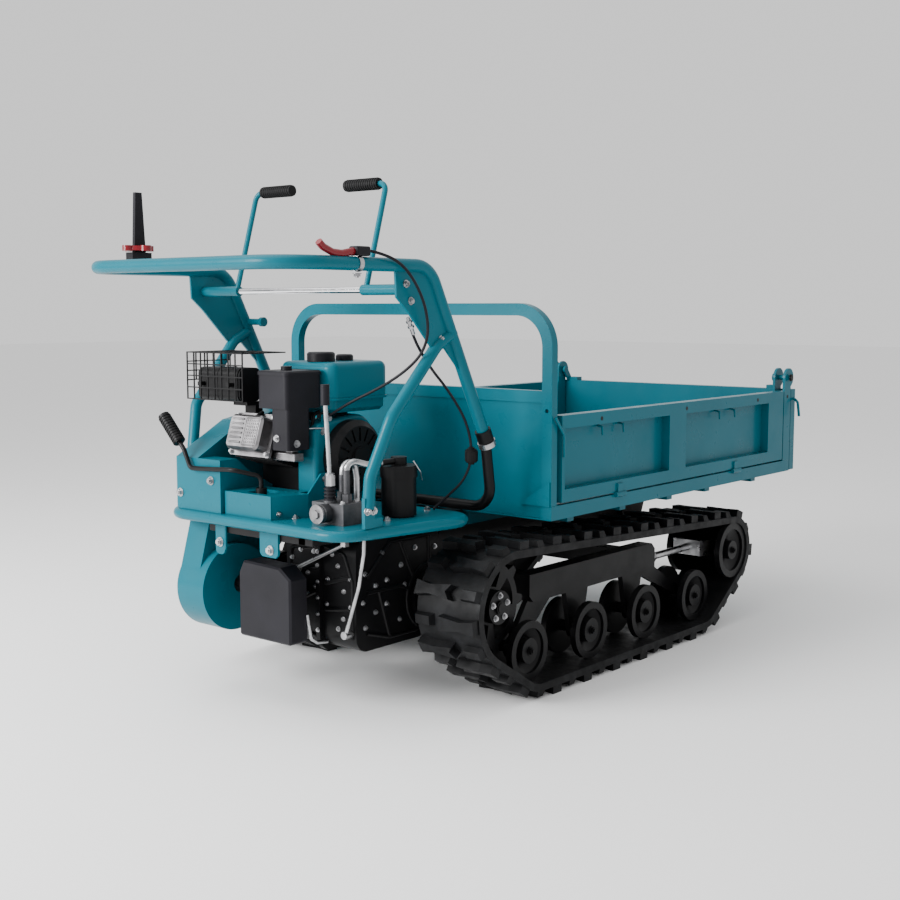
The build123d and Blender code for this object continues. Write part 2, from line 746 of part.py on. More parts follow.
def cylinder_foot(side):
    """Lug and cross plate that carry one end of the cylinder's foot pin."""
    y0 = side * (CYL_FOOT_HALF + CYL_EYE_SIDE_GAP)
    y1 = y0 + side * CYL_LUG_THICKNESS
    tie_x = RAIL_FRONT_X - CYL_LUG_TIE
    tie_top = RAIL_BOTTOM + CYL_LUG_TIE_HEIGHT
    lug = side_plate([
        (CYL_FOOT_X - CYL_LUG_R, CYL_FOOT_Z),
        (CYL_FOOT_X + CYL_LUG_R, CYL_FOOT_Z),
        (RAIL_FRONT_X, RAIL_BOTTOM),
        (RAIL_FRONT_X, tie_top),
        (tie_x, tie_top),
    ], y0, y1)
    lug += cyl_y(CYL_FOOT_X, CYL_FOOT_Z, CYL_LUG_R, y0, y1)
    tie = box(tie_x, RAIL_FRONT_X, y0, side * (RAIL_Y - RAIL_WIDTH / 2 + 1), RAIL_BOTTOM, tie_top)
    return lug + tie


def chassis_frame():
    """Two rails, the tie at their rear, the tipping pivot's ears and the cylinder's foot."""
    frame = cyl_y(CYL_FOOT_X, CYL_FOOT_Z, CYL_PIN_R,
                  -CYL_FOOT_HALF - 2 * CYL_LUG_THICKNESS, CYL_FOOT_HALF + 2 * CYL_LUG_THICKNESS)
    for side in (-1, 1):
        frame += rail_with_ear(side) + cylinder_foot(side)
    inner = RAIL_Y - RAIL_WIDTH / 2 + 1
    return frame + box(RAIL_REAR_X, RAIL_REAR_X + RAIL_TIE_LENGTH, -inner, inner, RAIL_BOTTOM, RAIL_TOP - 20)


def cross_tubes():
    """Square tubes between the side beams, each with two posts under the rails."""
    reach = TRACK_Y - SIDE_BEAM_HALF - SEAT_GAP
    tubes = []
    for x in (CROSS_TUBE_REAR_X, CROSS_TUBE_FRONT_X):
        one = box(x - CROSS_TUBE_HALF, x + CROSS_TUBE_HALF, -reach, reach,
                  CROSS_TUBE_Z - CROSS_TUBE_HALF, CROSS_TUBE_Z + CROSS_TUBE_HALF)
        for side in (-1, 1):
            one += box(x - CROSS_POST_HALF, x + CROSS_POST_HALF,
                       side * (RAIL_Y - CROSS_POST_HALF), side * (RAIL_Y + CROSS_POST_HALF),
                       CROSS_TUBE_Z, RAIL_BOTTOM - SEAT_GAP)
        tubes.append(one)
    return Compound(children=[s for one in tubes for s in one.solids()])


SILL_TOP = FLOOR_BOTTOM + SILL_HEIGHT
FLOOR_TOP = FLOOR_BOTTOM + FLOOR_SHEET
BOX_FRONT_X = POST_X + POST_LENGTH
GATE_HINGE_Y = BOX_HALF_WIDTH + GATE_HINGE_OUT


def side_sill(side):
    """Sill along one side of the floor with the fixed knuckles of the gate's hinges."""
    outer = side * BOX_HALF_WIDTH
    sill = box(HEAD_X, BOX_FRONT_X, side * (BOX_HALF_WIDTH - SILL_WIDTH), outer, FLOOR_BOTTOM, SILL_TOP)
    notch = GATE_HINGE_LENGTH / 4 + GATE_HINGE_GAP
    for x in GATE_HINGE_XS:
        sill -= box(x - notch, x + notch, outer + side, outer - side * (GATE_HINGE_OUT + 1),
                    SILL_TOP - GATE_HINGE_R - 2, SILL_TOP + 1)
        for end in (-1, 1):
            sill += cyl_x(side * GATE_HINGE_Y, SILL_TOP, GATE_HINGE_R,
                          x + end * notch, x + end * GATE_HINGE_LENGTH / 2)
        sill += cyl_x(side * GATE_HINGE_Y, SILL_TOP, GATE_HINGE_PIN_R, x - notch - 1, x + notch + 1)
    return sill


def bed_floor():
    """Floor sheet with side sills, cross ribs, two sub-rails and the cylinder's lugs."""
    floor = box(HEAD_X, BOX_FRONT_X, -BOX_HALF_WIDTH, BOX_HALF_WIDTH, FLOOR_BOTTOM, FLOOR_TOP)
    inner = BOX_HALF_WIDTH - SILL_WIDTH
    seat_end = HEAD_X + HEAD_SHEET_INSET + HEAD_SHEET + SEAT_GAP
    floor -= box(HEAD_X - 1, seat_end, -inner, inner, FLOOR_TOP - SEAT_GAP, FLOOR_TOP + 1)
    for x in RIB_XS:
        floor += box(x - RIB_HALF, x + RIB_HALF, -inner - 1, inner + 1, FLOOR_BOTTOM - RIB_DEPTH, FLOOR_BOTTOM + 1)
    for side in (-1, 1):
        floor += side_sill(side)
        rail_in = side * (RAIL_Y - SUBRAIL_WIDTH / 2)
        rail_out = side * (RAIL_Y + SUBRAIL_WIDTH / 2)
        rail = box(HEAD_X + SUBRAIL_REAR, BOX_FRONT_X - SUBRAIL_FRONT, rail_in, rail_out,
                   RAIL_TOP + SEAT_GAP, FLOOR_BOTTOM + 1)
        floor += rail - cyl_y(PIVOT_X, PIVOT_Z, PIVOT_PIN_R + AXLE_FIT, rail_in - side, rail_out + side)
        y0 = side * (CYL_EYE_HALF + CYL_EYE_SIDE_GAP)
        y1 = y0 + side * CYL_LUG_THICKNESS
        lug = box(CYL_EYE_X - CYL_EYE_LUG_R, CYL_EYE_X + CYL_EYE_LUG_R, y0, y1, CYL_EYE_Z, FLOOR_BOTTOM + 1)
        lug += cyl_y(CYL_EYE_X, CYL_EYE_Z, CYL_EYE_LUG_R, y0, y1)
        floor += lug - cyl_y(CYL_EYE_X, CYL_EYE_Z, CYL_EYE_SLOT_R, y0 - side, y1 + side)
    return floor


def hoop():
    """Hoop of flat tube with rounded upper corners and a lashing hole in each upright."""
    outer = BOX_HALF_WIDTH - 1
    height = HOOP_TOP - SILL_TOP
    frame = Pos(0, SILL_TOP + height / 2) * Rectangle(2 * outer, height)
    frame = fillet(frame.vertices().sort_by(Axis.Y)[-2:], HOOP_CORNER_R)
    opening_top = HOOP_TOP - HOOP_BAR
    opening = Pos(0, (SILL_TOP + opening_top) / 2 - 1) * Rectangle(2 * (outer - HOOP_BAR), opening_top - SILL_TOP + 2)
    opening = fillet(opening.vertices().sort_by(Axis.Y)[-2:], HOOP_CORNER_R - HOOP_BAR)
    for side in (-1, 1):
        frame -= Pos(side * (outer - HOOP_BAR / 2), HOOP_HOLE_Z) * Circle(HOOP_HOLE_R)
    return extrude(rear_plane(HEAD_X) * (frame - opening), HOOP_DEPTH)


def headboard():
    """Sheet with folded top inside the hoop, and a corner plate at each foot."""
    reach = BOX_HALF_WIDTH - HOOP_BAR
    x0 = HEAD_X + HEAD_SHEET_INSET
    head = hoop() + box(x0, x0 + HEAD_SHEET, -reach, reach, FLOOR_TOP, HEAD_FOLD_Z)
    head += box(x0, x0 + HEAD_FLANGE, -reach, reach, HEAD_FOLD_Z - HEAD_SHEET, HEAD_FOLD_Z)
    head += box(x0 - HEAD_LIP_PROUD, x0 + 1, -reach, reach, HEAD_FOLD_Z - HEAD_LIP, HEAD_FOLD_Z)
    edge = BOX_HALF_WIDTH - HEAD_LIP_PROUD
    clear = BOX_HALF_WIDTH - SILL_WIDTH - SEAT_GAP
    for side in (-1, 1):
        head += rear_plate([
            (side * edge, SILL_TOP + SEAT_GAP),
            (side * edge, CORNER_PLATE_TOP),
            (side * (edge - CORNER_PLATE_REACH), SILL_TOP + SEAT_GAP),
        ], HEAD_X - CORNER_PLATE, HEAD_X + HEAD_SHEET_INSET + 1)
        head -= box(HEAD_X - CORNER_PLATE - 1, HEAD_X + HOOP_DEPTH + 1, side * clear, side * (BOX_HALF_WIDTH + 1),
                    FLOOR_BOTTOM, SILL_TOP + SEAT_GAP)
    return head


def gate_panel(length, height, fields):
    """Pressed gate from its lower outer rear corner: x along, y inward, z up."""
    gate = box(0, length, 0, GATE_THICKNESS, 0, height)
    for x0, x1 in fields:
        gate -= box(x0, x1, -1, GATE_RECESS, GATE_BOTTOM_RAIL, height - GATE_TOP_RAIL)
    return gate - box(GATE_END_RAIL, length - GATE_END_RAIL, GATE_RECESS + GATE_SHEET, GATE_THICKNESS + 1,
                      -1, height - GATE_TOP_RAIL)


def side_gate():
    """Left side gate, hinged along its lower edge."""
    bottom = SILL_TOP + GATE_GAP
    start = HEAD_X + GATE_REAR
    length = POST_X - GATE_GAP - start
    fields = [(x0 - GATE_REAR, x1 - GATE_REAR) for x0, x1 in GATE_FIELDS]
    panel = gate_panel(length, GATE_TOP - bottom, fields)
    gate = Pos(start, BOX_HALF_WIDTH, bottom) * mirror(panel, about=Plane.XZ)
    half = GATE_HINGE_LENGTH / 4
    reach = GATE_HINGE_LENGTH / 2 + 1
    for x in GATE_HINGE_XS:
        gate -= cyl_x(GATE_HINGE_Y, SILL_TOP, GATE_HINGE_R + 1, x - reach, x + reach)
        gate += cyl_x(GATE_HINGE_Y, SILL_TOP, GATE_HINGE_R, x - half, x + half)
        gate += box(x - half, x + half, BOX_HALF_WIDTH - 2, GATE_HINGE_Y + 1, SILL_TOP + 2, bottom + GATE_HINGE_STRAP)
        gate -= cyl_x(GATE_HINGE_Y, SILL_TOP, GATE_HINGE_PIN_R + AXLE_FIT, x - half - 1, x + half + 1)
    return gate


def corner_post():
    """Left front post with the two round ears that carry the front gate's pin."""
    y1 = BOX_HALF_WIDTH
    y0 = y1 - POST_THICKNESS
    post = side_plate([
        (POST_X, SILL_TOP + SEAT_GAP),
        (BOX_FRONT_X, SILL_TOP + SEAT_GAP),
        (BOX_FRONT_X, GATE_TOP),
        (POST_X, GATE_TOP),
    ], y0, y1)
    for inner in (y0, y1 - EAR_PLATE):
        ear = side_plate([
            (POST_X + 2, GATE_TOP - 1),
            (BOX_FRONT_X, GATE_TOP - 1),
            (BOX_FRONT_X, FRONT_PIN_Z - 0.8 * EAR_R),
            (FRONT_PIN_X + EAR_R, FRONT_PIN_Z),
            (FRONT_PIN_X - EAR_R, FRONT_PIN_Z),
        ], inner, inner + EAR_PLATE)
        post += ear + cyl_y(FRONT_PIN_X, FRONT_PIN_Z, EAR_R, inner, inner + EAR_PLATE)
    return post - cyl_y(FRONT_PIN_X, FRONT_PIN_Z, FRONT_PIN_R + AXLE_FIT, y0 - 1, y1 + 1)


def front_gate():
    """Front gate ahead of the posts, hung from pins above its upper corners."""
    half = BOX_HALF_WIDTH - 1
    bottom = FLOOR_BOTTOM + 2
    x0 = BOX_FRONT_X + SIDE_CLEARANCE
    x1 = HEAD_X + BOX_LENGTH
    gate = box(x0, x1, -half, half, bottom, FRONT_GATE_TOP)
    arm_out = BOX_HALF_WIDTH - POST_THICKNESS - SIDE_CLEARANCE
    for side in (-1, 1):
        gate -= box(x0 + FRONT_GATE_FACE, x1 + 1, side * FRONT_GATE_MID_HALF, side * (half - FRONT_GATE_END_RAIL),
                    bottom + GATE_BOTTOM_RAIL, FRONT_GATE_TOP - GATE_TOP_RAIL)
        y1 = side * arm_out
        y0 = y1 - side * FRONT_ARM_THICKNESS
        arm = side_plate([
            (FRONT_PIN_X - FRONT_ARM_R, FRONT_PIN_Z),
            (FRONT_PIN_X + FRONT_ARM_R, FRONT_PIN_Z),
            (x1, FRONT_GATE_TOP - FRONT_ARM_R),
            (x1, FRONT_GATE_TOP - FRONT_ARM_DEPTH),
            (x0 + 1, FRONT_GATE_TOP - FRONT_ARM_DEPTH),
            (x0 + 1, FRONT_GATE_TOP - FRONT_ARM_R / 2),
        ], y0, y1)
        arm += cyl_y(FRONT_PIN_X, FRONT_PIN_Z, FRONT_ARM_R, y0, y1)
        pin = cyl_y(FRONT_PIN_X, FRONT_PIN_Z, FRONT_PIN_R, y0, side * (BOX_HALF_WIDTH + FRONT_PIN_PROUD))
        step = box(x0 + 1, x1, y0, y0 - side * STEP_BLOCK_WIDTH, FRONT_GATE_TOP - 1, FRONT_GATE_TOP + STEP_BLOCK_HEIGHT)
        gate += arm + pin + step
    return gate


CYL_ANGLE = math.degrees(math.atan2(CYL_EYE_Z - CYL_FOOT_Z, CYL_EYE_X - CYL_FOOT_X))
CYL_LENGTH = math.hypot(CYL_EYE_Z - CYL_FOOT_Z, CYL_EYE_X - CYL_FOOT_X)


def along_cylinder(shape):
    """Place a shape drawn along +X from the foot pin onto the cylinder's line."""
    return Pos(CYL_FOOT_X, 0, CYL_FOOT_Z) * Rot(0, -CYL_ANGLE, 0) * shape


def tip_barrel():
    """Cylinder barrel with its foot eye."""
    bore_start = CYL_BARREL_START + CYL_BARREL_WALL_END
    barrel = cyl_x(0, 0, CYL_BARREL_R, CYL_BARREL_START, CYL_BARREL_END)
    barrel += cyl_x(0, 0, CYL_EYE_R, 0, CYL_BARREL_START + 1)
    barrel += cyl_y(0, 0, CYL_EYE_R, -CYL_FOOT_HALF, CYL_FOOT_HALF)
    barrel -= cyl_y(0, 0, CYL_PIN_R + AXLE_FIT, -CYL_FOOT_HALF - 1, CYL_FOOT_HALF + 1)
    barrel -= cyl_x(0, 0, CYL_ROD_R + AXLE_FIT, bore_start, CYL_BARREL_END + 1)
    return along_cylinder(barrel)


def tip_rod():
    """Cylinder rod with its eye and cross pin."""
    rod_start = CYL_BARREL_START + CYL_BARREL_WALL_END + SIDE_CLEARANCE
    rod = cyl_x(0, 0, CYL_ROD_R, rod_start, CYL_LENGTH)
    rod += cyl_y(CYL_LENGTH, 0, CYL_EYE_R, -CYL_EYE_HALF, CYL_EYE_HALF)
    pin_half = CYL_EYE_HALF + CYL_LUG_THICKNESS + PIVOT_PIN_PROUD / 2
    return along_cylinder(rod + cyl_y(CYL_LENGTH, 0, CYL_PIN_R, -pin_half, pin_half))


def deck():
    """Operator's deck: sheet in a rolled rim, wider towards the box, with lugs below its rear edge."""
    outline = [
        (DECK_REAR_X + DECK_RIM_R, -DECK_REAR_HALF + DECK_RIM_R),
        (DECK_FRONT_X - DECK_RIM_R, -DECK_FRONT_HALF + DECK_RIM_R),
        (DECK_FRONT_X - DECK_RIM_R, DECK_FRONT_HALF - DECK_RIM_R),
        (DECK_REAR_X + DECK_RIM_R, DECK_REAR_HALF - DECK_RIM_R),
    ]
    face = make_face(Polyline(*outline, close=True))
    face = fillet(face.vertices(), DECK_CORNER_R)
    sheet = extrude(Pos(0, 0, DECK_TOP - DECK_SHEET) * face, DECK_SHEET)
    path = Pos(0, 0, DECK_TOP - DECK_RIM_R) * face.face().outer_wire()
    section = Plane(origin=path @ 0, z_dir=path % 0) * Circle(DECK_RIM_R)
    whole = sheet + sweep(section, path=path)
    top = DECK_TOP - DECK_SHEET + 1
    x1 = DECK_BEAM_REAR_X - SEAT_GAP
    # Hanger lugs: right Y, left Y, foot height
    for y0, y1, foot in ((-75, -9, 403), (123, 158, 389)):
        lug = box(x1 - HANGER_LUG_THICKNESS, x1, y0, y1, foot, top)
        corners = lug.edges().filter_by(Axis.X).sort_by(Axis.Z)[:2]
        whole += fillet(corners, HANGER_LUG_R)
    return whole


def control_frame():
    """Handle loop that runs down into the front legs, gusset plates and rear legs."""
    corners = [
        (LEG_BOTTOM_X, LEG_BOTTOM_Z),
        (HANDLE_BEND_X, HANDLE_Z),
        (HANDLE_REAR_X + HANDLE_TUBE_R, HANDLE_Z),
    ]
    points = [(x, -HANDLE_HALF, z) for x, z in corners]
    points += [(x, HANDLE_HALF, z) for x, z in corners[::-1]]
    frame = tube(points, [HANDLE_DROP_R, HANDLE_CORNER_R, HANDLE_CORNER_R, HANDLE_DROP_R], HANDLE_TUBE_R)
    half_plate = GUSSET_THICKNESS / 2
    for side in (-1, 1):
        y = side * HANDLE_HALF
        foot_y = side * REAR_FOOT_Y
        frame += side_plate(GUSSET_OUTLINE, y - half_plate, y + half_plate)
        leg = [
            (REAR_LEG_START_X, y, REAR_LEG_START_Z),
            (REAR_LEG_TURN_X, y, REAR_LEG_TURN_Z),
            (REAR_LEG_LOW_X, foot_y + side * REAR_LEG_SPREAD, REAR_LEG_LOW_Z),
            (REAR_FOOT_X, foot_y, REAR_LEG_END_Z),
            (REAR_FOOT_X - 8, foot_y, REAR_FOOT_TOP - 27),
        ]
        frame += tube(leg, [40, 60, 60], REAR_LEG_R)
        y0 = foot_y - REAR_FOOT_PLATE_HALF
        y1 = foot_y + REAR_FOOT_PLATE_HALF
        front = REAR_FOOT_X + REAR_FOOT_HALF - 6
        frame += box(front - 2 * REAR_FOOT_HALF, front, y0, y1, DECK_TOP + SEAT_GAP, REAR_FOOT_TOP)
        frame += box(front - 1, front + 26, y0, y1, DECK_TOP + SEAT_GAP, DECK_TOP + REAR_FOOT_LUG)
    stub = cyl_y(STUB_X, STUB_Z, STUB_R, HANDLE_HALF, HANDLE_HALF - STUB_LENGTH)
    knob = cyl_y(STUB_X, STUB_Z, STUB_KNOB_R, HANDLE_HALF - STUB_LENGTH, HANDLE_HALF - STUB_LENGTH - 12)
    return frame + stub + knob


def lower_leg_tube():
    """Black tube across the deck's front edge, up to a collar round both front legs."""
    corners = [(LEG_BOTTOM_X + 2, LEG_BOTTOM_Z - 4), (LOWER_LEG_X, LOWER_LEG_Z)]
    points = [(x, -HANDLE_HALF, z) for x, z in corners]
    points += [(x, HANDLE_HALF, z) for x, z in corners[::-1]]
    legs = tube(points, [LOWER_LEG_BEND_R, LOWER_LEG_BEND_R], LOWER_LEG_R)
    down = Vector(LEG_BOTTOM_X - HANDLE_BEND_X, 0, LEG_BOTTOM_Z - HANDLE_Z).normalized()
    for side in (-1, 1):
        end = Vector(LEG_BOTTOM_X, side * HANDLE_HALF, LEG_BOTTOM_Z)
        collar = extrude(Plane(origin=end - down * COLLAR_HALF, z_dir=down) * Circle(COLLAR_R), 2 * COLLAR_HALF)
        socket = Plane(origin=end + down * SEAT_GAP, z_dir=-down) * Circle(HANDLE_TUBE_R + AXLE_FIT)
        legs += collar
        legs -= extrude(socket, COLLAR_HALF + 2)
    return legs


def lever_shaft():
    """Chrome cross shaft between the gusset plates."""
    reach = HANDLE_HALF - GUSSET_THICKNESS / 2
    return cyl_y(LEVER_SHAFT_X, LEVER_SHAFT_Z, LEVER_SHAFT_R, -reach, reach)


GRIP_OUTER_Y = LEVER_Y - GRIP_START
GRIP_INNER_Y = GRIP_OUTER_Y - GRIP_LENGTH


def steering_lever():
    """Left steering lever: boss on the cross shaft, rod up, grip end turned inward."""
    boss_end = HANDLE_HALF - GUSSET_THICKNESS / 2 - 1
    boss = cyl_y(LEVER_SHAFT_X, LEVER_SHAFT_Z, LEVER_BOSS_R, LEVER_Y - 10, boss_end)
    rod = tube([
        (LEVER_SHAFT_X, LEVER_Y, LEVER_SHAFT_Z),
        (LEVER_TOP_X, LEVER_Y, LEVER_TOP_Z),
        (LEVER_TOP_X, GRIP_INNER_Y + GRIP_END_WALL, LEVER_TOP_Z),
    ], [LEVER_BEND_R], LEVER_ROD_R)
    lever = boss + rod
    return lever - cyl_y(LEVER_SHAFT_X, LEVER_SHAFT_Z, LEVER_SHAFT_R + AXLE_FIT, LEVER_Y - 40, HANDLE_HALF)


def lever_grip():
    """Black grip on the left steering lever."""
    grip = cyl_y(LEVER_TOP_X, LEVER_TOP_Z, GRIP_R, GRIP_INNER_Y, GRIP_OUTER_Y)
    return grip - cyl_y(LEVER_TOP_X, LEVER_TOP_Z, LEVER_ROD_R + AXLE_FIT,
                        GRIP_INNER_Y + GRIP_END_WALL - AXLE_FIT, GRIP_OUTER_Y + 1)


CYLINDER_LINE = Pos(CRANK_X, CYLINDER_Y, CRANK_Z) * Rot(0, CYLINDER_SLANT, 0)


def engine_block():
    """Crankcase, slanted finned cylinder, ports and the tank's mounts as one block."""
    case = box(CRANK_X - CASE_REAR, CRANK_X + CASE_FRONT, CASE_RIGHT_Y, CASE_LEFT_Y, ENGINE_BASE_Z, CRANK_Z + CASE_HEIGHT)
    case = fillet(case.edges().filter_by(Axis.Y).sort_by(Axis.Z)[-2:], CASE_EDGE_R)
    length = CYLINDER_END - CYLINDER_START
    middle = -(CYLINDER_START + CYLINDER_END) / 2
    block = case + CYLINDER_LINE * Pos(middle, 0, 0) * Box(length, CYLINDER_WIDTH, CYLINDER_DEPTH)
    for i in range(FIN_COUNT):
        fin = Box(FIN_THICKNESS, CYLINDER_WIDTH + 2 * FIN_PROUD, CYLINDER_DEPTH + 2 * FIN_PROUD)
        block += CYLINDER_LINE * Pos(-(FIN_FIRST + i * FIN_SPACING), 0, 0) * fin
    block += cyl_y(CRANK_X, CRANK_Z, OUTPUT_SHAFT_R, CASE_LEFT_Y - 1, HOUSING_STEP_Y - SEAT_GAP)
    for x in TANK_MOUNT_XS:
        block += box(x - 18, x + 18, CASE_RIGHT_Y + 22, CASE_RIGHT_Y + 102,
                     CRANK_Z + CASE_HEIGHT - 2, TANK_BOTTOM - SEAT_GAP)
    # Intake to the air cleaner and exhaust up to the muffler
    block += box(-785, -740, AIR_LOWER_LEFT_Y + SEAT_GAP, CYLINDER_Y - CYLINDER_WIDTH / 2 + 1, 680, 735)
    block += box(-786, -762, 100, 140, 700, MUFFLER_BOTTOM - EXHAUST_FLANGE + 1)
    return block + box(-820, -762, 94, 146, MUFFLER_BOTTOM - EXHAUST_FLANGE, MUFFLER_BOTTOM + 1 - SEAT_GAP)


def rocker_cover():
    """Silver rocker cover: flange and domed body on the head's rear end."""
    x = -CYLINDER_END - SEAT_GAP
    flange = Pos(x - ROCKER_FLANGE / 2, 0, 0) * Box(ROCKER_FLANGE, ROCKER_FLANGE_WIDTH, ROCKER_FLANGE_DEPTH)
    body = Box(ROCKER_HEIGHT, ROCKER_FLANGE_WIDTH - 24, ROCKER_FLANGE_DEPTH - 22)
    body = fillet(body.edges().filter_by(Axis.X), 16)
    body = chamfer(body.faces().sort_by(Axis.X)[0].edges(), 6)
    return CYLINDER_LINE * (flange + Pos(x - ROCKER_FLANGE / 2 - ROCKER_HEIGHT / 2, 0, 0) * body)


def fuel_tank():
    """Fuel tank over the crankcase: two pressed halves with a seam between them."""
    middle_x = (TANK_REAR_X + TANK_FRONT_X) / 2
    middle_y = (TANK_RIGHT_Y + TANK_LEFT_Y) / 2
    length = TANK_FRONT_X - TANK_REAR_X
    width = TANK_LEFT_Y - TANK_RIGHT_Y

    def half(grow, z0, z1):
        """Part of the tank between two heights, grown all round."""
        outline = RectangleRounded(length + 2 * grow, width + 2 * grow, TANK_CORNER_R + grow)
        return extrude(Pos(middle_x, middle_y, z0) * outline, z1 - z0)

    upper = half(0, TANK_SEAM_Z, TANK_TOP)
    upper = fillet(upper.faces().sort_by(Axis.Z)[-1].edges(), TANK_TOP_R)
    lower = half(-TANK_INSET, TANK_BOTTOM, TANK_SEAM_Z + 1)
    lower = chamfer(lower.faces().sort_by(Axis.Z)[0].edges(), 10)
    return upper + lower + half(TANK_SEAM_LIP, TANK_SEAM_Z - TANK_SEAM, TANK_SEAM_Z)


def fuel_cap():
    """Large fuel cap and the smaller gauge cap ahead of it."""
    caps = []
    for x, r, height in TANK_CAPS:
        z0 = TANK_TOP + SEAT_GAP
        cap = cyl_z(x, CAP_Y, r, z0, z0 + height)
        caps.append(chamfer(cap.faces().sort_by(Axis.Z)[-1].edges(), 4))
    return Compound(children=[s for cap in caps for s in cap.solids()])


def air_cleaner():
    """Air cleaner: wide upper box with a lid and knob over a narrower elbow."""
    upper = box(AIR_REAR_X, AIR_FRONT_X, AIR_RIGHT_Y, AIR_LEFT_Y, AIR_SHOULDER, AIR_TOP)
    upper = fillet(upper.edges().filter_by(Axis.Z), 12)
    lid = box(AIR_REAR_X - AIR_LID_PROUD, AIR_FRONT_X + AIR_LID_PROUD,
              AIR_RIGHT_Y - AIR_LID_PROUD, AIR_LEFT_Y + AIR_LID_PROUD, AIR_TOP - 1, AIR_TOP + AIR_LID)
    lid = fillet(lid.edges().filter_by(Axis.Z), 15)
    lid = chamfer(lid.faces().sort_by(Axis.Z)[-1].edges(), 4)
    lower = box(AIR_REAR_X + 4, AIR_LOWER_FRONT_X, AIR_RIGHT_Y, AIR_LOWER_LEFT_Y, AIR_BOTTOM, AIR_SHOULDER + 1)
    lower = fillet(lower.edges().filter_by(Axis.Z), 10)
    knob = cyl_z((AIR_REAR_X + AIR_FRONT_X) / 2 - 8, CAP_Y, 14, AIR_TOP + AIR_LID - 1, AIR_TOP + AIR_LID + 10)
    return upper + lid + lower + knob


def muffler():
    """Muffler can with a seam round it and a short outlet at its left end."""
    middle_x = (MUFFLER_REAR_X + MUFFLER_FRONT_X) / 2
    middle_z = (MUFFLER_BOTTOM + MUFFLER_TOP) / 2
    length = MUFFLER_FRONT_X - MUFFLER_REAR_X
    height = MUFFLER_TOP - MUFFLER_BOTTOM

    def slice_of(grow, y0, y1):
        """Part of the can between two places along Y, grown all round."""
        outline = RectangleRounded(length + 2 * grow, height + 2 * grow, MUFFLER_EDGE_R + grow)
        return extrude(side_plane(y1) * Pos(middle_x, middle_z) * outline, y1 - y0)

    can = slice_of(-4, MUFFLER_RIGHT_Y, MUFFLER_LEFT_Y)
    can += slice_of(-1, MUFFLER_RIGHT_Y + 5, MUFFLER_LEFT_Y - 5)
    seam_y = (MUFFLER_RIGHT_Y + MUFFLER_LEFT_Y) / 2
    can += slice_of(0, seam_y, seam_y + MUFFLER_SEAM)
    return can + cyl_y(middle_x, MUFFLER_BOTTOM + 26, 11, MUFFLER_LEFT_Y - 1, MUFFLER_LEFT_Y + 12)


def grid(u0, u1, v0, v1, place):
    """Flat wire grid between two corners: bars both ways, placed by a function of u and v."""
    bars = []
    columns = round((u1 - u0) / GUARD_PITCH)
    rows = round((v1 - v0) / GUARD_PITCH)
    for i in range(columns + 1):
        u = u0 + (u1 - u0) * i / columns
        bars.append(place(u, u, v0, v1))
    for i in range(rows + 1):
        v = v0 + (v1 - v0) * i / rows
        bars.append(place(u0, u1, v, v))
    return bars


def muffler_guard():
    """Wire cage behind, over and beside the muffler, on two small brackets."""
    w = GUARD_WIRE / 2

    def rear(u0, u1, v0, v1):
        """Bar of the rear panel: u along Y, v along Z."""
        return box(GUARD_REAR_X - w, GUARD_REAR_X + w, u0 - w, u1 + w, v0 - w, v1 + w)

    def top(u0, u1, v0, v1):
        """Bar of the top panel: u along Y, v along X."""
        return box(v0 - w, v1 + w, u0 - w, u1 + w, GUARD_TOP - w, GUARD_TOP + w)

    def end(u0, u1, v0, v1):
        """Bar of the left panel: u along X, v along Z."""
        return box(u0 - w, u1 + w, GUARD_LEFT_Y - w, GUARD_LEFT_Y + w, v0 - w, v1 + w)

    bars = grid(GUARD_RIGHT_Y, GUARD_LEFT_Y, GUARD_BOTTOM, GUARD_TOP, rear)
    bars += grid(GUARD_RIGHT_Y, GUARD_LEFT_Y, GUARD_REAR_X, GUARD_FRONT_X, top)
    bars += grid(GUARD_REAR_X, GUARD_FRONT_X, GUARD_BOTTOM + 48, GUARD_TOP, end)
    for y in (MUFFLER_RIGHT_Y + 20, MUFFLER_LEFT_Y - 30):
        bars.append(box(GUARD_REAR_X - w, MUFFLER_REAR_X + 1 - SEAT_GAP, y, y + 10,
                        MUFFLER_BOTTOM + 40, MUFFLER_BOTTOM + 50))
    return bars[0].fuse(*bars[1:])


def recoil_starter():
    """Round recoil starter cover with radial slots and a raised middle."""
    cover = spun(CRANK_X, CRANK_Z, [
        (0, SHROUD_FACE_Y - SEAT_GAP),
        (RECOIL_R, SHROUD_FACE_Y - SEAT_GAP),
        (RECOIL_R, RECOIL_SHOULDER_Y),
        (RECOIL_FACE_R, RECOIL_FACE_Y + 6),
        (RECOIL_HUB_R, RECOIL_FACE_Y + 6),
        (RECOIL_HUB_R, RECOIL_FACE_Y),
        (0, RECOIL_FACE_Y),
    ])
    y1 = RECOIL_FACE_Y + 6 + RECOIL_SLOT_DEPTH
    slot = box(RECOIL_FACE_R - RECOIL_SLOT_LENGTH - 4, RECOIL_FACE_R - 4, RECOIL_FACE_Y, y1,
               -RECOIL_SLOT_WIDTH / 2, RECOIL_SLOT_WIDTH / 2)
    for i in range(RECOIL_SLOTS):
        cover -= Pos(CRANK_X, 0, CRANK_Z) * Rot(0, i * 360 / RECOIL_SLOTS, 0) * slot
    return cover


def fan_shroud():
    """Pressed fan shroud behind the recoil starter, with the throttle cable's bracket."""
    shroud = side_hull(SHROUD_CORNERS, SHROUD_FACE_Y, CASE_RIGHT_Y - SEAT_GAP)
    shroud = fillet(shroud.faces().sort_by(Axis.Y)[0].edges(), SHROUD_EDGE_R)
    return shroud + box(-728, -714, SHROUD_FACE_Y, SHROUD_FACE_Y + 5, 715, 750)


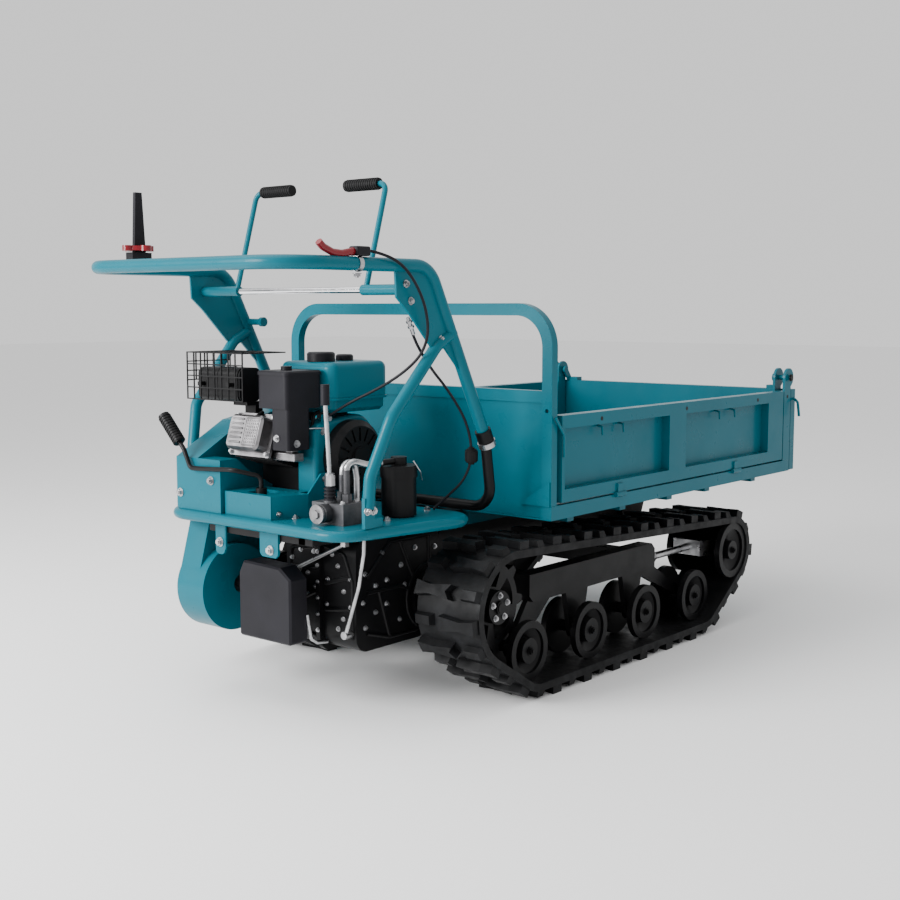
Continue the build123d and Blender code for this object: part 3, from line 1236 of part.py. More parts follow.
def gear_console():
    """Base box under the engine, and behind it the gear lever's console with a side cheek."""
    z0 = DECK_TOP + SEAT_GAP
    console = box(CONSOLE_REAR_X, CONSOLE_FRONT_X, CONSOLE_RIGHT_Y, CONSOLE_LEFT_Y, z0, CONSOLE_TOP)
    console -= box(-867, -800, -30, 50, CONSOLE_TOP - CONSOLE_SLOT, CONSOLE_TOP + 1)
    base = box(BASE_REAR_X, BASE_FRONT_X, BASE_RIGHT_Y, BASE_LEFT_Y, z0, ENGINE_BASE_Z - SEAT_GAP)
    link = box(CONSOLE_FRONT_X - 2, BASE_REAR_X + 2, CONSOLE_RIGHT_Y + 12, CONSOLE_LEFT_Y - 8, z0, z0 + 22)
    cheek = side_plate([
        (CHEEK_TURN_X, z0),
        (CHEEK_FRONT_X, z0),
        (CHEEK_FRONT_X, CHEEK_TOP),
        (CHEEK_TURN_X + 46, CHEEK_TOP),
        (CHEEK_TURN_X, CONSOLE_TOP),
    ], CHEEK_Y, CHEEK_Y + CHEEK_SHEET)
    wedge = make_face(Polyline(
        (CONSOLE_REAR_X, CONSOLE_RIGHT_Y + 1),
        (CHEEK_TURN_X, CHEEK_Y),
        (CHEEK_TURN_X + CHEEK_SHEET, CHEEK_Y),
        (CHEEK_TURN_X + CHEEK_SHEET, CONSOLE_RIGHT_Y + 1),
        close=True))
    return console + base + link + cheek + extrude(Pos(0, 0, z0) * wedge, CONSOLE_TOP - z0)


def belt_housing():
    """Upper belt housing on the engine's left, with a low part behind the head."""
    z0 = DECK_TOP + SEAT_GAP
    tall = side_plate([
        (HOUSING_REAR_X, z0),
        (HOUSING_FRONT_X, z0),
        (HOUSING_FRONT_X, HOUSING_TOP - 45),
        (HOUSING_FRONT_X - 60, HOUSING_TOP),
        (HOUSING_FRONT_X - 200, HOUSING_TOP - 25),
        (HOUSING_REAR_X, HOUSING_REAR_TOP),
    ], HOUSING_STEP_Y, HOUSING_LEFT_Y)
    tall = fillet(tall.faces().sort_by(Axis.Y)[-1].edges(), HOUSING_EDGE_R)
    low = side_plate([
        (HOUSING_REAR_X, z0),
        (HOUSING_REAR_X + 177, z0),
        (HOUSING_REAR_X + 177, 556),
        (HOUSING_REAR_X + 97, 600),
        (HOUSING_REAR_X + 57, HOUSING_REAR_TOP),
        (HOUSING_REAR_X, HOUSING_REAR_TOP),
    ], HOUSING_RIGHT_Y, HOUSING_STEP_Y + 1)
    return tall + low


def belt_cover():
    """Teardrop belt cover under the deck: flat disc with a stepped neck."""
    disc = cyl_y(COVER_X, COVER_Z, COVER_R, COVER_RIGHT_Y + 1, COVER_LEFT_Y)
    disc = fillet(disc.faces().sort_by(Axis.Y)[-1].edges(), 10)
    half = COVER_NECK_WIDTH / 2
    round_part = Pos(COVER_X, COVER_Z) * Circle(COVER_R - 4)
    mouth = Pos(COVER_NECK_X, COVER_NECK_Z) * Rectangle(COVER_NECK_WIDTH, 2)
    hull = make_hull([*round_part.edges(), *mouth.edges()])
    neck = extrude(side_plane(COVER_LEFT_Y - 6) * hull, COVER_LEFT_Y - 6 - COVER_NECK_Y)
    tongue = box(COVER_NECK_X - half + 15, COVER_NECK_X + half - 15, COVER_NECK_Y, COVER_LEFT_Y - 16,
                 COVER_NECK_Z - 4, DECK_TOP - DECK_SHEET - SEAT_GAP)
    return disc + neck + tongue


def gearbox():
    """Cast gearbox between the tracks: split case, axle housings, stay bars and input shaft."""
    case = box(GEARBOX_REAR_X, GEARBOX_FRONT_X, GEARBOX_RIGHT_Y, GEARBOX_LEFT_Y, GEARBOX_BOTTOM, GEARBOX_TOP)
    case = fillet(case.edges().filter_by(Axis.Y), GEARBOX_EDGE_R)
    grow = GEARBOX_FLANGE_PROUD
    flange = box(GEARBOX_REAR_X - grow, GEARBOX_FRONT_X - 1, GEARBOX_SPLIT_Y - GEARBOX_FLANGE / 2,
                 GEARBOX_SPLIT_Y + GEARBOX_FLANGE / 2, GEARBOX_BOTTOM - grow, GEARBOX_TOP)
    case += fillet(flange.edges().filter_by(Axis.Y), GEARBOX_EDGE_R)
    case += box(OIL_TANK_FRONT_X + SEAT_GAP, GEARBOX_REAR_X + 30, 20, GEARBOX_LEFT_Y, TANK_NECK_BOTTOM, TANK_NECK_TOP)
    case += cyl_y(INPUT_X, INPUT_Z, INPUT_R, 40, COVER_RIGHT_Y + 1 - SEAT_GAP)
    reach = TRACK_INNER_Y - AXLE_HOUSING_GAP
    case += cyl_y(SPROCKET_X, SPROCKET_Z, AXLE_HOUSING_R, -reach, reach)
    hub_y = TRACK_Y - SPROCKET_HUB_INNER - 1
    case += cyl_y(SPROCKET_X, SPROCKET_Z, SPROCKET_SHAFT_R, -hub_y, hub_y)
    for side in (-1, 1):
        near = GEARBOX_RIGHT_Y if side < 0 else GEARBOX_LEFT_Y
        case += cyl_y(SPROCKET_X, SPROCKET_Z, AXLE_FLANGE_R, near - side, near + side * AXLE_FLANGE)
        case += box(SPROCKET_X - AXLE_STAY_HALF - 8, SPROCKET_X + AXLE_STAY_HALF - 8, near - side,
                    side * AXLE_STAY_Y, AXLE_STAY_BOTTOM, AXLE_STAY_BOTTOM + AXLE_STAY)
    return case


def oil_tank():
    """Moulded tank behind the gearbox, sloping in at both upper corners."""
    tank = rear_plate(OIL_TANK_OUTLINE, OIL_TANK_REAR_X, OIL_TANK_FRONT_X)
    tank = fillet(tank.edges().filter_by(Axis.X), 8)
    return chamfer(tank.faces().sort_by(Axis.X)[0].edges(), 5)


def deck_support():
    """Two beams from the rails back under the deck, tied across, with a rear hanger plate."""
    sheet = DECK_TOP - DECK_SHEET - SEAT_GAP
    under_rim = DECK_TOP - 2 * DECK_RIM_R - SEAT_GAP
    rim_clear = DECK_FRONT_X - 2 * DECK_RIM_R - 4
    step_x = GEARBOX_FRONT_X + SEAT_GAP
    half = RAIL_WIDTH / 2
    reach = RAIL_Y - half + 2
    support = box(DECK_TIE_X - DECK_TIE_HALF, DECK_TIE_X + DECK_TIE_HALF, -reach, reach, DECK_BEAM_BOTTOM, sheet)
    support += box(DECK_BEAM_REAR_X, DECK_BEAM_REAR_X + DECK_HANGER_PLATE, -reach, reach, DECK_HANGER_BOTTOM, sheet)
    for side in (-1, 1):
        support += side_plate([
            (DECK_BEAM_REAR_X, DECK_BEAM_BOTTOM),
            (step_x, DECK_BEAM_BOTTOM),
            (step_x, RAIL_TOP + SEAT_GAP),
            (DECK_BEAM_FRONT_X, RAIL_TOP + SEAT_GAP),
            (DECK_BEAM_FRONT_X, under_rim),
            (rim_clear, under_rim),
            (rim_clear, sheet),
            (DECK_BEAM_REAR_X, sheet),
        ], side * RAIL_Y - half, side * RAIL_Y + half)
    return support


def link_rods():
    """Bent shift rod and straight clutch rod behind the gearbox, each on its own boss."""
    boss_end = GEARBOX_REAR_X - SEAT_GAP
    shift = tube([(LINK_X, y, z) for y, z in SHIFT_ROD], [60, 60], LINK_R)
    shift += cyl_x(*SHIFT_ROD[-1], LINK_BOSS_R, LINK_X - 7, boss_end)
    top, foot = (Vector(LINK_X, y, z) for y, z in CLUTCH_ROD)
    clutch = extrude(Plane(origin=foot, z_dir=top - foot) * Circle(LINK_R), (top - foot).length)
    clutch += cyl_x(foot.Y, foot.Z, LINK_BOSS_R, LINK_X - 7, boss_end)
    clutch += box(LINK_X - 7, LINK_X + 7, top.Y - 8, top.Y + 8, top.Z - 6, DECK_BEAM_BOTTOM - SEAT_GAP)
    return Compound(children=[*shift.solids(), *clutch.solids()])


def hydraulic_filter():
    """Spin-on filter can standing at the deck's right, with its head and pipe."""
    z0 = DECK_TOP + SEAT_GAP
    unit = cyl_z(FILTER_X, FILTER_Y, FILTER_CAN_R, z0 + 4, FILTER_HEAD_Z)
    unit += cyl_z(FILTER_X, FILTER_Y, FILTER_CAN_R - 6, z0, z0 + 5)
    unit += cyl_z(FILTER_X, FILTER_Y, FILTER_HEAD_R, FILTER_HEAD_Z - 1, FILTER_TOP)
    unit += cyl_z(FILTER_X, FILTER_Y, FILTER_PORT_R, FILTER_TOP - 1, FILTER_TOP + 21)
    return unit + cyl_x(FILTER_Y, FILTER_PORT_Z, FILTER_PIPE_R, FILTER_PIPE_END_X, FILTER_X)


def valve_block():
    """Cast spool valve at the deck's rear right, with a side cap and standing fittings."""
    z0 = DECK_TOP + SEAT_GAP
    block = box(VALVE_REAR_X, VALVE_FRONT_X, VALVE_RIGHT_Y, VALVE_LEFT_Y, z0, VALVE_TOP)
    block += cyl_x(VALVE_SPOOL_Y, (z0 + VALVE_TOP) / 2 + 2, VALVE_CAP_R, VALVE_REAR_X - VALVE_CAP_LENGTH, VALVE_REAR_X + 1)
    block += cyl_z(VALVE_SPOOL_X, VALVE_SPOOL_Y, 16, VALVE_TOP - 1, VALVE_TOP + 6)
    for x, y, top in VALVE_FITTINGS:
        nut = extrude(Pos(x, y, VALVE_TOP - 1) * RegularPolygon(14, 6), 21)
        block += nut + cyl_z(x, y, 9, VALVE_TOP, top)
    return block


def valve_lever():
    """Bellows, nut, rod and grip of the tipping valve."""
    x, y = VALVE_SPOOL_X, VALVE_SPOOL_Y
    z0 = VALVE_TOP + 6 + SEAT_GAP
    lever = cyl_z(x, y, 11, z0, VALVE_BELLOWS_TOP)
    step = (VALVE_BELLOWS_TOP - z0) / 4
    for i in range(4):
        lever += cyl_z(x, y, 15, z0 + i * step, z0 + i * step + step * 0.55)
    lever += extrude(Pos(x, y, VALVE_BELLOWS_TOP - 1) * RegularPolygon(12, 6), VALVE_NUT_TOP - VALVE_BELLOWS_TOP)
    lever += tube([(x, y, VALVE_BELLOWS_TOP), (x - 2, y, VALVE_NUT_TOP + 22), (x - 15, y - 2, 800)], [60], 5)
    return lever + Pos(x - 15.6, y - 2, 811) * Cylinder(11, 50)


def gear_lever():
    """Cranked gear lever with its boot and grip."""
    x, y = GEAR_LEVER_X, GEAR_LEVER_Y
    z0 = CONSOLE_TOP - CONSOLE_SLOT + SEAT_GAP
    points = [
        (x, y, z0),
        (x, y, 598),
        (x - 56, y + 40, 616),
        (x - 56, y + 206, 608),
        (x - 56, y + 230, 655),
        (x - 56, y + 306, 734),
    ]
    lever = tube(points, [18, 22, 16, 20], GEAR_LEVER_R) + cyl_z(x, y, GEAR_BOOT_R, z0, CONSOLE_TOP + 12)
    end = Vector(*points[-1])
    along = (end - Vector(*points[-2])).normalized()
    grip = Plane(origin=end - along * 86, z_dir=along)
    return lever + extrude(grip * Circle(15), 92)


def brake_lever():
    """Tall tapered brake blade on the left of the handle."""
    y = HANDLE_HALF
    z0 = HANDLE_Z + HANDLE_TUBE_R + SEAT_GAP
    base = box(BRAKE_X - 28, BRAKE_X + 32, y - 14, y + 14, z0, z0 + 26)
    blade = side_plate([
        (BRAKE_X - 15, z0 + 20),
        (BRAKE_X + 21, z0 + 20),
        (BRAKE_X + 12, BRAKE_TOP),
        (BRAKE_X - 8, BRAKE_TOP),
    ], y - 5, y + 5)
    return base + blade


def lever_lock():
    """Red star wheel round the brake blade."""
    y = HANDLE_HALF
    wheel = Pos(BRAKE_X, y, LOCK_Z) * Cylinder(LOCK_R, 12)
    for i in range(4):
        turn = math.radians(90 * i)
        at = Pos(BRAKE_X + LOCK_R * math.cos(turn), y + LOCK_R * math.sin(turn), LOCK_Z)
        wheel += at * Cylinder(14, 14)
    return wheel - box(BRAKE_X - 24, BRAKE_X + 24, y - 5.3, y + 5.3, LOCK_Z - 20, LOCK_Z + 20)


def throttle_lever():
    """Red throttle lever on the right of the handle with its clamp."""
    y = -HANDLE_HALF
    clamp = cyl_x(y, HANDLE_Z, HANDLE_TUBE_R + 5, -906, -888)
    clamp -= cyl_x(y, HANDLE_Z, HANDLE_TUBE_R + SEAT_GAP, -920, -870)
    pivot = box(-906, -866, y - 10, y + 10, HANDLE_Z + HANDLE_TUBE_R + 4, 1150)
    arm = side_plate(THROTTLE_OUTLINE, y - 4, y + 4)
    return clamp + pivot + arm


def cable(points, r):
    """Cable along measured points, each bend as wide as its runs allow."""
    radii = []
    for a, b, c in zip(points, points[1:], points[2:]):
        first = Vector(*b) - Vector(*a)
        second = Vector(*c) - Vector(*b)
        turn = math.radians(first.get_angle(second))
        radii.append(0.45 * min(first.length, second.length) / math.tan(turn / 2))
    print("cable radii", [round(v) for v in radii])
    return tube(points, radii, r)


THROTTLE_CABLE = [
    (-863, -372, 1146), (-836, -382, 1142), (-785, -395, 1124), (-740, -396, 1090),
    (-702, -394, 1044), (-680, -391, 998), (-672, -387, 952), (-676, -371, 908),
    (-684, -336, 873), (-693, -286, 840), (-702, -230, 812), (-711, -174, 788),
    (-718, -126, 762), (-720, -86.3, 741),
]
CLUTCH_CABLE = [
    (-703, -350, 991), (-680, -346, 948), (-646, -345, 905), (-606, -344, 864),
    (-562, -345, 826), (-518, -344, 783), (-478, -343, 735), (-455, -344, 680),
    (-452, -342, 622), (-462, -322, 572), (-484, -290, 536), (-508, -262, 501.2),
]

CABLE_R = 3.5


def export_all():
    """Write every sub-part."""
    os.makedirs("parts", exist_ok=True)
    left_track = track()
    left_lever = steering_lever()
    left_gate = side_gate()
    pieces = {
        "chassis_frame": chassis_frame(),
        "cross_tubes": cross_tubes(),
        "link_rods": link_rods(),
        "track_frames": both(track_frame()),
        "track_left": left_track,
        "track_right": mirrored(left_track),
        "sprockets": both(sprocket()),
        "idlers": both(idler()),
        "bottom_rollers": Compound(children=[s for r in rollers() for s in (*r.solids(), *mirrored(r).solids())]),
        "tensioners": both(tensioner()),
        "gearbox": gearbox(),
        "oil_tank": oil_tank(),
        "belt_cover": belt_cover(),
        "deck": deck(),
        "deck_support": deck_support(),
        "hydraulic_filter": hydraulic_filter(),
        "valve_block": valve_block(),
        "valve_lever": valve_lever(),
        "gear_lever": gear_lever(),
        "brake_lever": brake_lever(),
        "lever_lock": lever_lock(),
        "throttle_lever": throttle_lever(),
        "throttle_cable": cable(THROTTLE_CABLE, CABLE_R),
        "clutch_cable": cable(CLUTCH_CABLE, CABLE_R),
        "control_frame": control_frame(),
        "lower_leg_tube": lower_leg_tube(),
        "lever_shaft": lever_shaft(),
        "steering_lever_left": left_lever,
        "steering_lever_right": mirrored(left_lever),
        "lever_grips": both(lever_grip()),
        "engine_block": engine_block(),
        "rocker_cover": rocker_cover(),
        "fuel_tank": fuel_tank(),
        "fuel_cap": fuel_cap(),
        "air_cleaner": air_cleaner(),
        "muffler": muffler(),
        "muffler_guard": muffler_guard(),
        "recoil_starter": recoil_starter(),
        "fan_shroud": fan_shroud(),
        "gear_console": gear_console(),
        "belt_housing": belt_housing(),
        "bed_floor": bed_floor(),
        "headboard": headboard(),
        "corner_posts": both(corner_post()),
        "side_gate_left": left_gate,
        "side_gate_right": mirrored(left_gate),
        "front_gate": front_gate(),
        "tip_barrel": tip_barrel(),
        "tip_rod": tip_rod(),
    }
    for name, shape in pieces.items():
        export_step(shape, f"parts/{name}.step")


export_all()
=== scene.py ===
import json
import math
import bmesh
import bpy
from mathutils import Matrix, Vector, geometry


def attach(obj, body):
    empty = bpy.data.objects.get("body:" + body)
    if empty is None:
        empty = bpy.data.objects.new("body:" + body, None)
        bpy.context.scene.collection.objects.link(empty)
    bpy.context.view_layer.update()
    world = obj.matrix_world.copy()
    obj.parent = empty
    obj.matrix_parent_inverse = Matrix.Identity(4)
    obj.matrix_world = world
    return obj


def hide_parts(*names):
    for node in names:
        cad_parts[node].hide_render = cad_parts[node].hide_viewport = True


# Tracked power carrier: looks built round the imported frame. +X forward, +Y left, +Z up.
# Camera, lights and finishes are in metres. Places and sizes of pieces are written in millimetres.

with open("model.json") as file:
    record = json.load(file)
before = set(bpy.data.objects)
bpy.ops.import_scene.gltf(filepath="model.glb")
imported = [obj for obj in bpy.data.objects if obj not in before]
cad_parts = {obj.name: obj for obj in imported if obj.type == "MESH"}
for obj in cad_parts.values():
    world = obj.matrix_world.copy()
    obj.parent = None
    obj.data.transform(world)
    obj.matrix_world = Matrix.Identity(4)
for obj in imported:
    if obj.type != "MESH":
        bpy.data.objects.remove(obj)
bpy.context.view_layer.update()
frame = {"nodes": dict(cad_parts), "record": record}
RECORD = frame["record"]
MM = 0.001

# Camera and studio

CAMERA_AT = (-3.046, -2.431, 1.019)
CAMERA_YAW = 39.78
CAMERA_DOWN = 6.23
CAMERA_FAR = 60.0
LENS_MM = 52.4
SENSOR_MM = 36.0
FLOOR_REACH = 30.0


def place_camera():
    """Camera at the photograph's viewing angle."""
    data = bpy.data.cameras.new("camera")
    data.lens = LENS_MM
    data.sensor_width = SENSOR_MM
    data.clip_end = CAMERA_FAR
    camera = bpy.data.objects.new("camera", data)
    camera.location = CAMERA_AT
    camera.rotation_euler = (math.radians(90 - CAMERA_DOWN), 0, math.radians(CAMERA_YAW - 90))
    bpy.context.scene.collection.objects.link(camera)
    bpy.context.scene.camera = camera


def soft_light(name, at, aim, size, watts):
    """Large soft box aimed at a point."""
    data = bpy.data.lights.new(name, "AREA")
    data.shape = "RECTANGLE"
    data.size, data.size_y = size
    data.energy = watts
    lamp = bpy.data.objects.new(name, data)
    lamp.location = at
    lamp.rotation_euler = (Vector(aim) - Vector(at)).to_track_quat("-Z", "Y").to_euler()
    bpy.context.scene.collection.objects.link(lamp)


def white_surround():
    """Even white light from all round."""
    world = bpy.data.worlds.new("studio")
    world.use_nodes = True
    back = world.node_tree.nodes["Background"]
    back.inputs["Color"].default_value = (1.0, 1.0, 1.0, 1.0)
    back.inputs["Strength"].default_value = 1.0
    bpy.context.scene.world = world


def pale_floor():
    """Wide dull floor."""
    mesh = bpy.data.meshes.new("floor")
    ways = ((-1, -1), (1, -1), (1, 1), (-1, 1))
    mesh.from_pydata([(FLOOR_REACH * x, FLOOR_REACH * y, 0) for x, y in ways], [], [(0, 1, 2, 3)])
    floor = bpy.data.objects.new("floor", mesh)
    bpy.context.scene.collection.objects.link(floor)
    pale = bpy.data.materials.new("pale_floor")
    pale.use_nodes = True
    surface = pale.node_tree.nodes["Principled BSDF"]
    surface.inputs["Base Color"].default_value = (0.93, 0.93, 0.93, 1)
    surface.inputs["Roughness"].default_value = 0.9
    surface.inputs["Specular IOR Level"].default_value = 0.1
    mesh.materials.append(pale)


def build_studio():
    """White surround, pale floor, and soft boxes behind and above the operator's end."""
    white_surround()
    pale_floor()
    soft_light("rear_box", at=(-4.6, 1.6, 2.2), aim=(-0.5, 0, 0.6), size=(2.6, 2.2), watts=420)
    soft_light("overhead_box", at=(-1.2, 0.6, 3.8), aim=(0.0, 0, 0.5), size=(3.6, 2.6), watts=70)


# Finishes

def add(tree, kind, inputs=None, **settings):
    """One node with its settings, values and links."""
    made = tree.nodes.new(kind)
    for key, value in settings.items():
        setattr(made, key, value)
    for key, value in (inputs or {}).items():
        if isinstance(value, bpy.types.NodeSocket):
            tree.links.new(value, made.inputs[key])
        else:
            made.inputs[key].default_value = value
    return made


def finish_base(name):
    """Empty material with its tree, shader and object coordinates."""
    made = bpy.data.materials.new(name)
    made.use_nodes = True
    tree = made.node_tree
    shader = tree.nodes["Principled BSDF"]
    place = add(tree, "ShaderNodeTexCoord").outputs["Object"]
    return made, tree, shader, place


def noise(tree, place, scale, detail=3.0, rough=0.55):
    """Noise value at a scale in 1/m."""
    inputs = {"Vector": place, "Scale": scale, "Detail": detail, "Roughness": rough}
    return add(tree, "ShaderNodeTexNoise", inputs).outputs["Fac"]


def ramp(tree, value, low, high, out_low=0.0, out_high=1.0):
    """Value moved from one range to another, clamped."""
    inputs = {"Value": value, "From Min": low, "From Max": high, "To Min": out_low, "To Max": out_high}
    return add(tree, "ShaderNodeMapRange", inputs, clamp=True).outputs["Result"]


def blend_colour(tree, factor, a, b):
    """Colour between a and b."""
    made = add(tree, "ShaderNodeMix", data_type="RGBA")
    sockets = {s.identifier: s for s in made.inputs}
    for key, value in (("Factor_Float", factor), ("A_Color", a), ("B_Color", b)):
        if isinstance(value, bpy.types.NodeSocket):
            tree.links.new(value, sockets[key])
        else:
            sockets[key].default_value = value if key == "Factor_Float" else (*value, 1.0)
    return {s.identifier: s for s in made.outputs}["Result_Color"]


def bump(tree, shader, height, strength, depth):
    """Bump from a height value into the shader, its depth in metres."""
    made = add(tree, "ShaderNodeBump", {"Height": height, "Strength": strength, "Distance": depth})
    tree.links.new(made.outputs["Normal"], shader.inputs["Normal"])


def math_node(tree, operation, a, b):
    """Sum, difference or product of two values."""
    return add(tree, "ShaderNodeMath", {0: a, 1: b}, operation=operation).outputs[0]


def dust(tree, place, colour, dust_colour, amount):
    """Thin dust in patches where a surface faces up."""
    normal = add(tree, "ShaderNodeNewGeometry").outputs["Normal"]
    facing = add(tree, "ShaderNodeSeparateXYZ", {"Vector": normal})
    up = ramp(tree, facing.outputs["Z"], low=0.35, high=1.0, out_high=amount)
    patch = ramp(tree, noise(tree, place, scale=9.0, detail=4.0), low=0.35, high=0.7)
    return blend_colour(tree, math_node(tree, "MULTIPLY", up, patch), colour, dust_colour)


def powder_coat(name, base, dark, rough=0.3, peel=0.02, dust_amount=0.03, specular=0.14):
    """Gloss powder coat: slight orange peel, soft shifts of tone and thin dust."""
    made, tree, shader, place = finish_base(name)
    tone = ramp(tree, noise(tree, place, scale=2.6, detail=4.0), low=0.3, high=0.7)
    colour = blend_colour(tree, tone, dark, base)
    colour = dust(tree, place, colour, dust_colour=(0.2, 0.21, 0.2), amount=dust_amount)
    tree.links.new(colour, shader.inputs["Base Color"])
    smear = noise(tree, place, scale=14.0, detail=5.0)
    smear = ramp(tree, smear, low=0.3, high=0.75, out_low=rough - 0.05, out_high=rough + 0.12)
    tree.links.new(smear, shader.inputs["Roughness"])
    shader.inputs["Specular IOR Level"].default_value = specular
    shader.inputs["Coat Weight"].default_value = 0.05
    shader.inputs["Coat Roughness"].default_value = 0.15
    bump(tree, shader, noise(tree, place, scale=420.0, detail=2.0), strength=peel, depth=0.0004)
    return made


def moulded_rubber(name):
    """Track rubber: dull black with scuffed grey patches."""
    made, tree, shader, place = finish_base(name)
    wear = ramp(tree, noise(tree, place, scale=16.0, detail=6.0, rough=0.6), low=0.45, high=0.75)
    colour = blend_colour(tree, wear, (0.0035, 0.0037, 0.0042), (0.011, 0.0115, 0.013))
    colour = dust(tree, place, colour, dust_colour=(0.022, 0.0215, 0.021), amount=0.25)
    tree.links.new(colour, shader.inputs["Base Color"])
    smear = ramp(tree, noise(tree, place, scale=40.0), low=0.3, high=0.7, out_low=0.42, out_high=0.66)
    tree.links.new(smear, shader.inputs["Roughness"])
    shader.inputs["Specular IOR Level"].default_value = 0.16
    bump(tree, shader, noise(tree, place, scale=260.0, detail=4.0), strength=0.25, depth=0.0006)
    return made


def moulded_plastic(name, base, light, rough, grain=0.12, scale=900.0, specular=0.15):
    """Moulded plastic or soft rubber with a fine grain."""
    made, tree, shader, place = finish_base(name)
    tone = ramp(tree, noise(tree, place, scale=7.0, detail=3.0), low=0.35, high=0.7)
    colour = blend_colour(tree, tone, base, light)
    colour = dust(tree, place, colour, dust_colour=(0.04, 0.04, 0.04), amount=0.05)
    tree.links.new(colour, shader.inputs["Base Color"])
    smear = noise(tree, place, scale=22.0)
    smear = ramp(tree, smear, low=0.3, high=0.7, out_low=rough - 0.05, out_high=rough + 0.08)
    tree.links.new(smear, shader.inputs["Roughness"])
    shader.inputs["Specular IOR Level"].default_value = specular
    bump(tree, shader, noise(tree, place, scale, detail=2.0), strength=grain, depth=0.0003)
    return made


def bare_metal(name, base, stain, rough, grain, scale, metallic=1.0, depth=0.0004):
    """Bare or plated metal with stains and a surface grain."""
    made, tree, shader, place = finish_base(name)
    tone = ramp(tree, noise(tree, place, scale=24.0, detail=5.0), low=0.4, high=0.75)
    tree.links.new(blend_colour(tree, tone, base, stain), shader.inputs["Base Color"])
    shader.inputs["Metallic"].default_value = metallic
    worn = noise(tree, place, scale=60.0, detail=4.0)
    worn = ramp(tree, worn, low=0.3, high=0.7, out_low=rough - 0.06, out_high=rough + 0.1)
    tree.links.new(worn, shader.inputs["Roughness"])
    bump(tree, shader, noise(tree, place, scale, detail=3.0), strength=grain, depth=depth)
    return made


# Finish of each material slot, colours in linear light
FINISHES = {
    "teal_paint": powder_coat("teal_powder_coat", base=(0.0, 0.11, 0.15), dark=(0.0, 0.094, 0.129)),
    "black_paint": powder_coat(
        "black_chassis_paint", base=(0.004, 0.004, 0.0046), dark=(0.0024, 0.0024, 0.0028),
        rough=0.4, peel=0.12, dust_amount=0.04),
    "engine_black": powder_coat(
        "engine_black_paint", base=(0.005, 0.005, 0.0056), dark=(0.003, 0.003, 0.0034),
        rough=0.42, peel=0.15, dust_amount=0.04, specular=0.16),
    "track_rubber": moulded_rubber("track_rubber"),
    "black_rubber": moulded_plastic(
        "soft_black_rubber", base=(0.003, 0.003, 0.0034), light=(0.006, 0.006, 0.0065),
        rough=0.55, grain=0.3, scale=500.0),
    "black_plastic": moulded_plastic(
        "moulded_black_plastic", base=(0.0065, 0.0062, 0.0085), light=(0.011, 0.0105, 0.014), rough=0.42),
    "red_plastic": moulded_plastic(
        "gloss_red_plastic", base=(0.15, 0.0008, 0.006), light=(0.2, 0.001, 0.008),
        rough=0.22, grain=0.05, specular=0.4),
    "bare_steel": bare_metal(
        "zinc_plated_steel", base=(0.5, 0.5, 0.51), stain=(0.26, 0.26, 0.27),
        rough=0.3, grain=0.1, scale=500.0),
    "chrome": bare_metal(
        "chrome_plate", base=(0.82, 0.82, 0.84), stain=(0.7, 0.7, 0.72),
        rough=0.1, grain=0.02, scale=600.0),
    "cast_grey": bare_metal(
        "raw_casting", base=(0.085, 0.085, 0.09), stain=(0.035, 0.035, 0.04),
        rough=0.5, grain=0.5, scale=380.0, metallic=0.75, depth=0.0008),
    "cast_aluminium": bare_metal(
        "cast_aluminium", base=(0.25, 0.243, 0.25), stain=(0.085, 0.082, 0.085),
        rough=0.4, grain=0.5, scale=420.0, metallic=0.95, depth=0.0008),
}


def dress_frame():
    """Give every CAD node the finish of its slot."""
    slots = {part["node"]: part["material_slot"] for part in RECORD["subparts"]}
    for name, node in frame["nodes"].items():
        finish = FINISHES[slots[name]]
        if not node.data.materials:
            node.data.materials.append(finish)
        for slot in node.material_slots:
            slot.material = finish


# Cables

THROTTLE_CABLE = [
    (-863, -372, 1146), (-836, -382, 1142), (-785, -395, 1124), (-740, -396, 1090),
    (-702, -394, 1044), (-680, -391, 998), (-672, -387, 952), (-676, -371, 908),
    (-684, -336, 873), (-693, -286, 840), (-702, -230, 812), (-711, -174, 788),
    (-718, -126, 762), (-720, -86.3, 741),
]
CLUTCH_CABLE = [
    (-703, -350, 991), (-680, -346, 948), (-646, -345, 905), (-606, -344, 864),
    (-562, -345, 826), (-518, -344, 783), (-478, -343, 735), (-455, -344, 680),
    (-452, -342, 622), (-462, -322, 572), (-484, -290, 536), (-508, -262, 501.2),
]
CABLE_R = 3.5


def scaled(points):
    """Places in metres from places in millimetres."""
    return [Vector(p) * MM for p in points]


def link_new(name, data):
    """Object at the origin, in the scene."""
    made = bpy.data.objects.new(name, data)
    bpy.context.scene.collection.objects.link(made)
    return made


def shown_mesh(piece):
    """New mesh of a piece as its modifiers or its curve leave it."""
    bpy.context.view_layer.update()
    return bpy.data.meshes.new_from_object(piece.evaluated_get(bpy.context.evaluated_depsgraph_get()))


def smooth_line(name, places):
    """Smooth curve from the first place to the last."""
    data = bpy.data.curves.new(name, "CURVE")
    data.dimensions = "3D"
    data.resolution_u = 6
    spline = data.splines.new("NURBS")
    spline.points.add(len(places) - 1)
    for point, at in zip(spline.points, places):
        point.co = (*at, 1.0)
    spline.use_endpoint_u = True
    spline.order_u = 3
    return data


def control_cable(name, points, node):
    """Sheathed control cable along a smooth curve, its bare line made into a mesh before it gets its
    thickness.
    """
    places = scaled(points)
    data = smooth_line(name, places)
    cable = link_new(name, data)
    line = shown_mesh(cable)
    data.bevel_depth = CABLE_R * MM
    data.bevel_resolution = 3
    data.use_fill_caps = True
    data.materials.append(FINISHES["black_plastic"])
    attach(cable, "chassis")
    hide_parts(node)


# Pieces made by Geometry Nodes

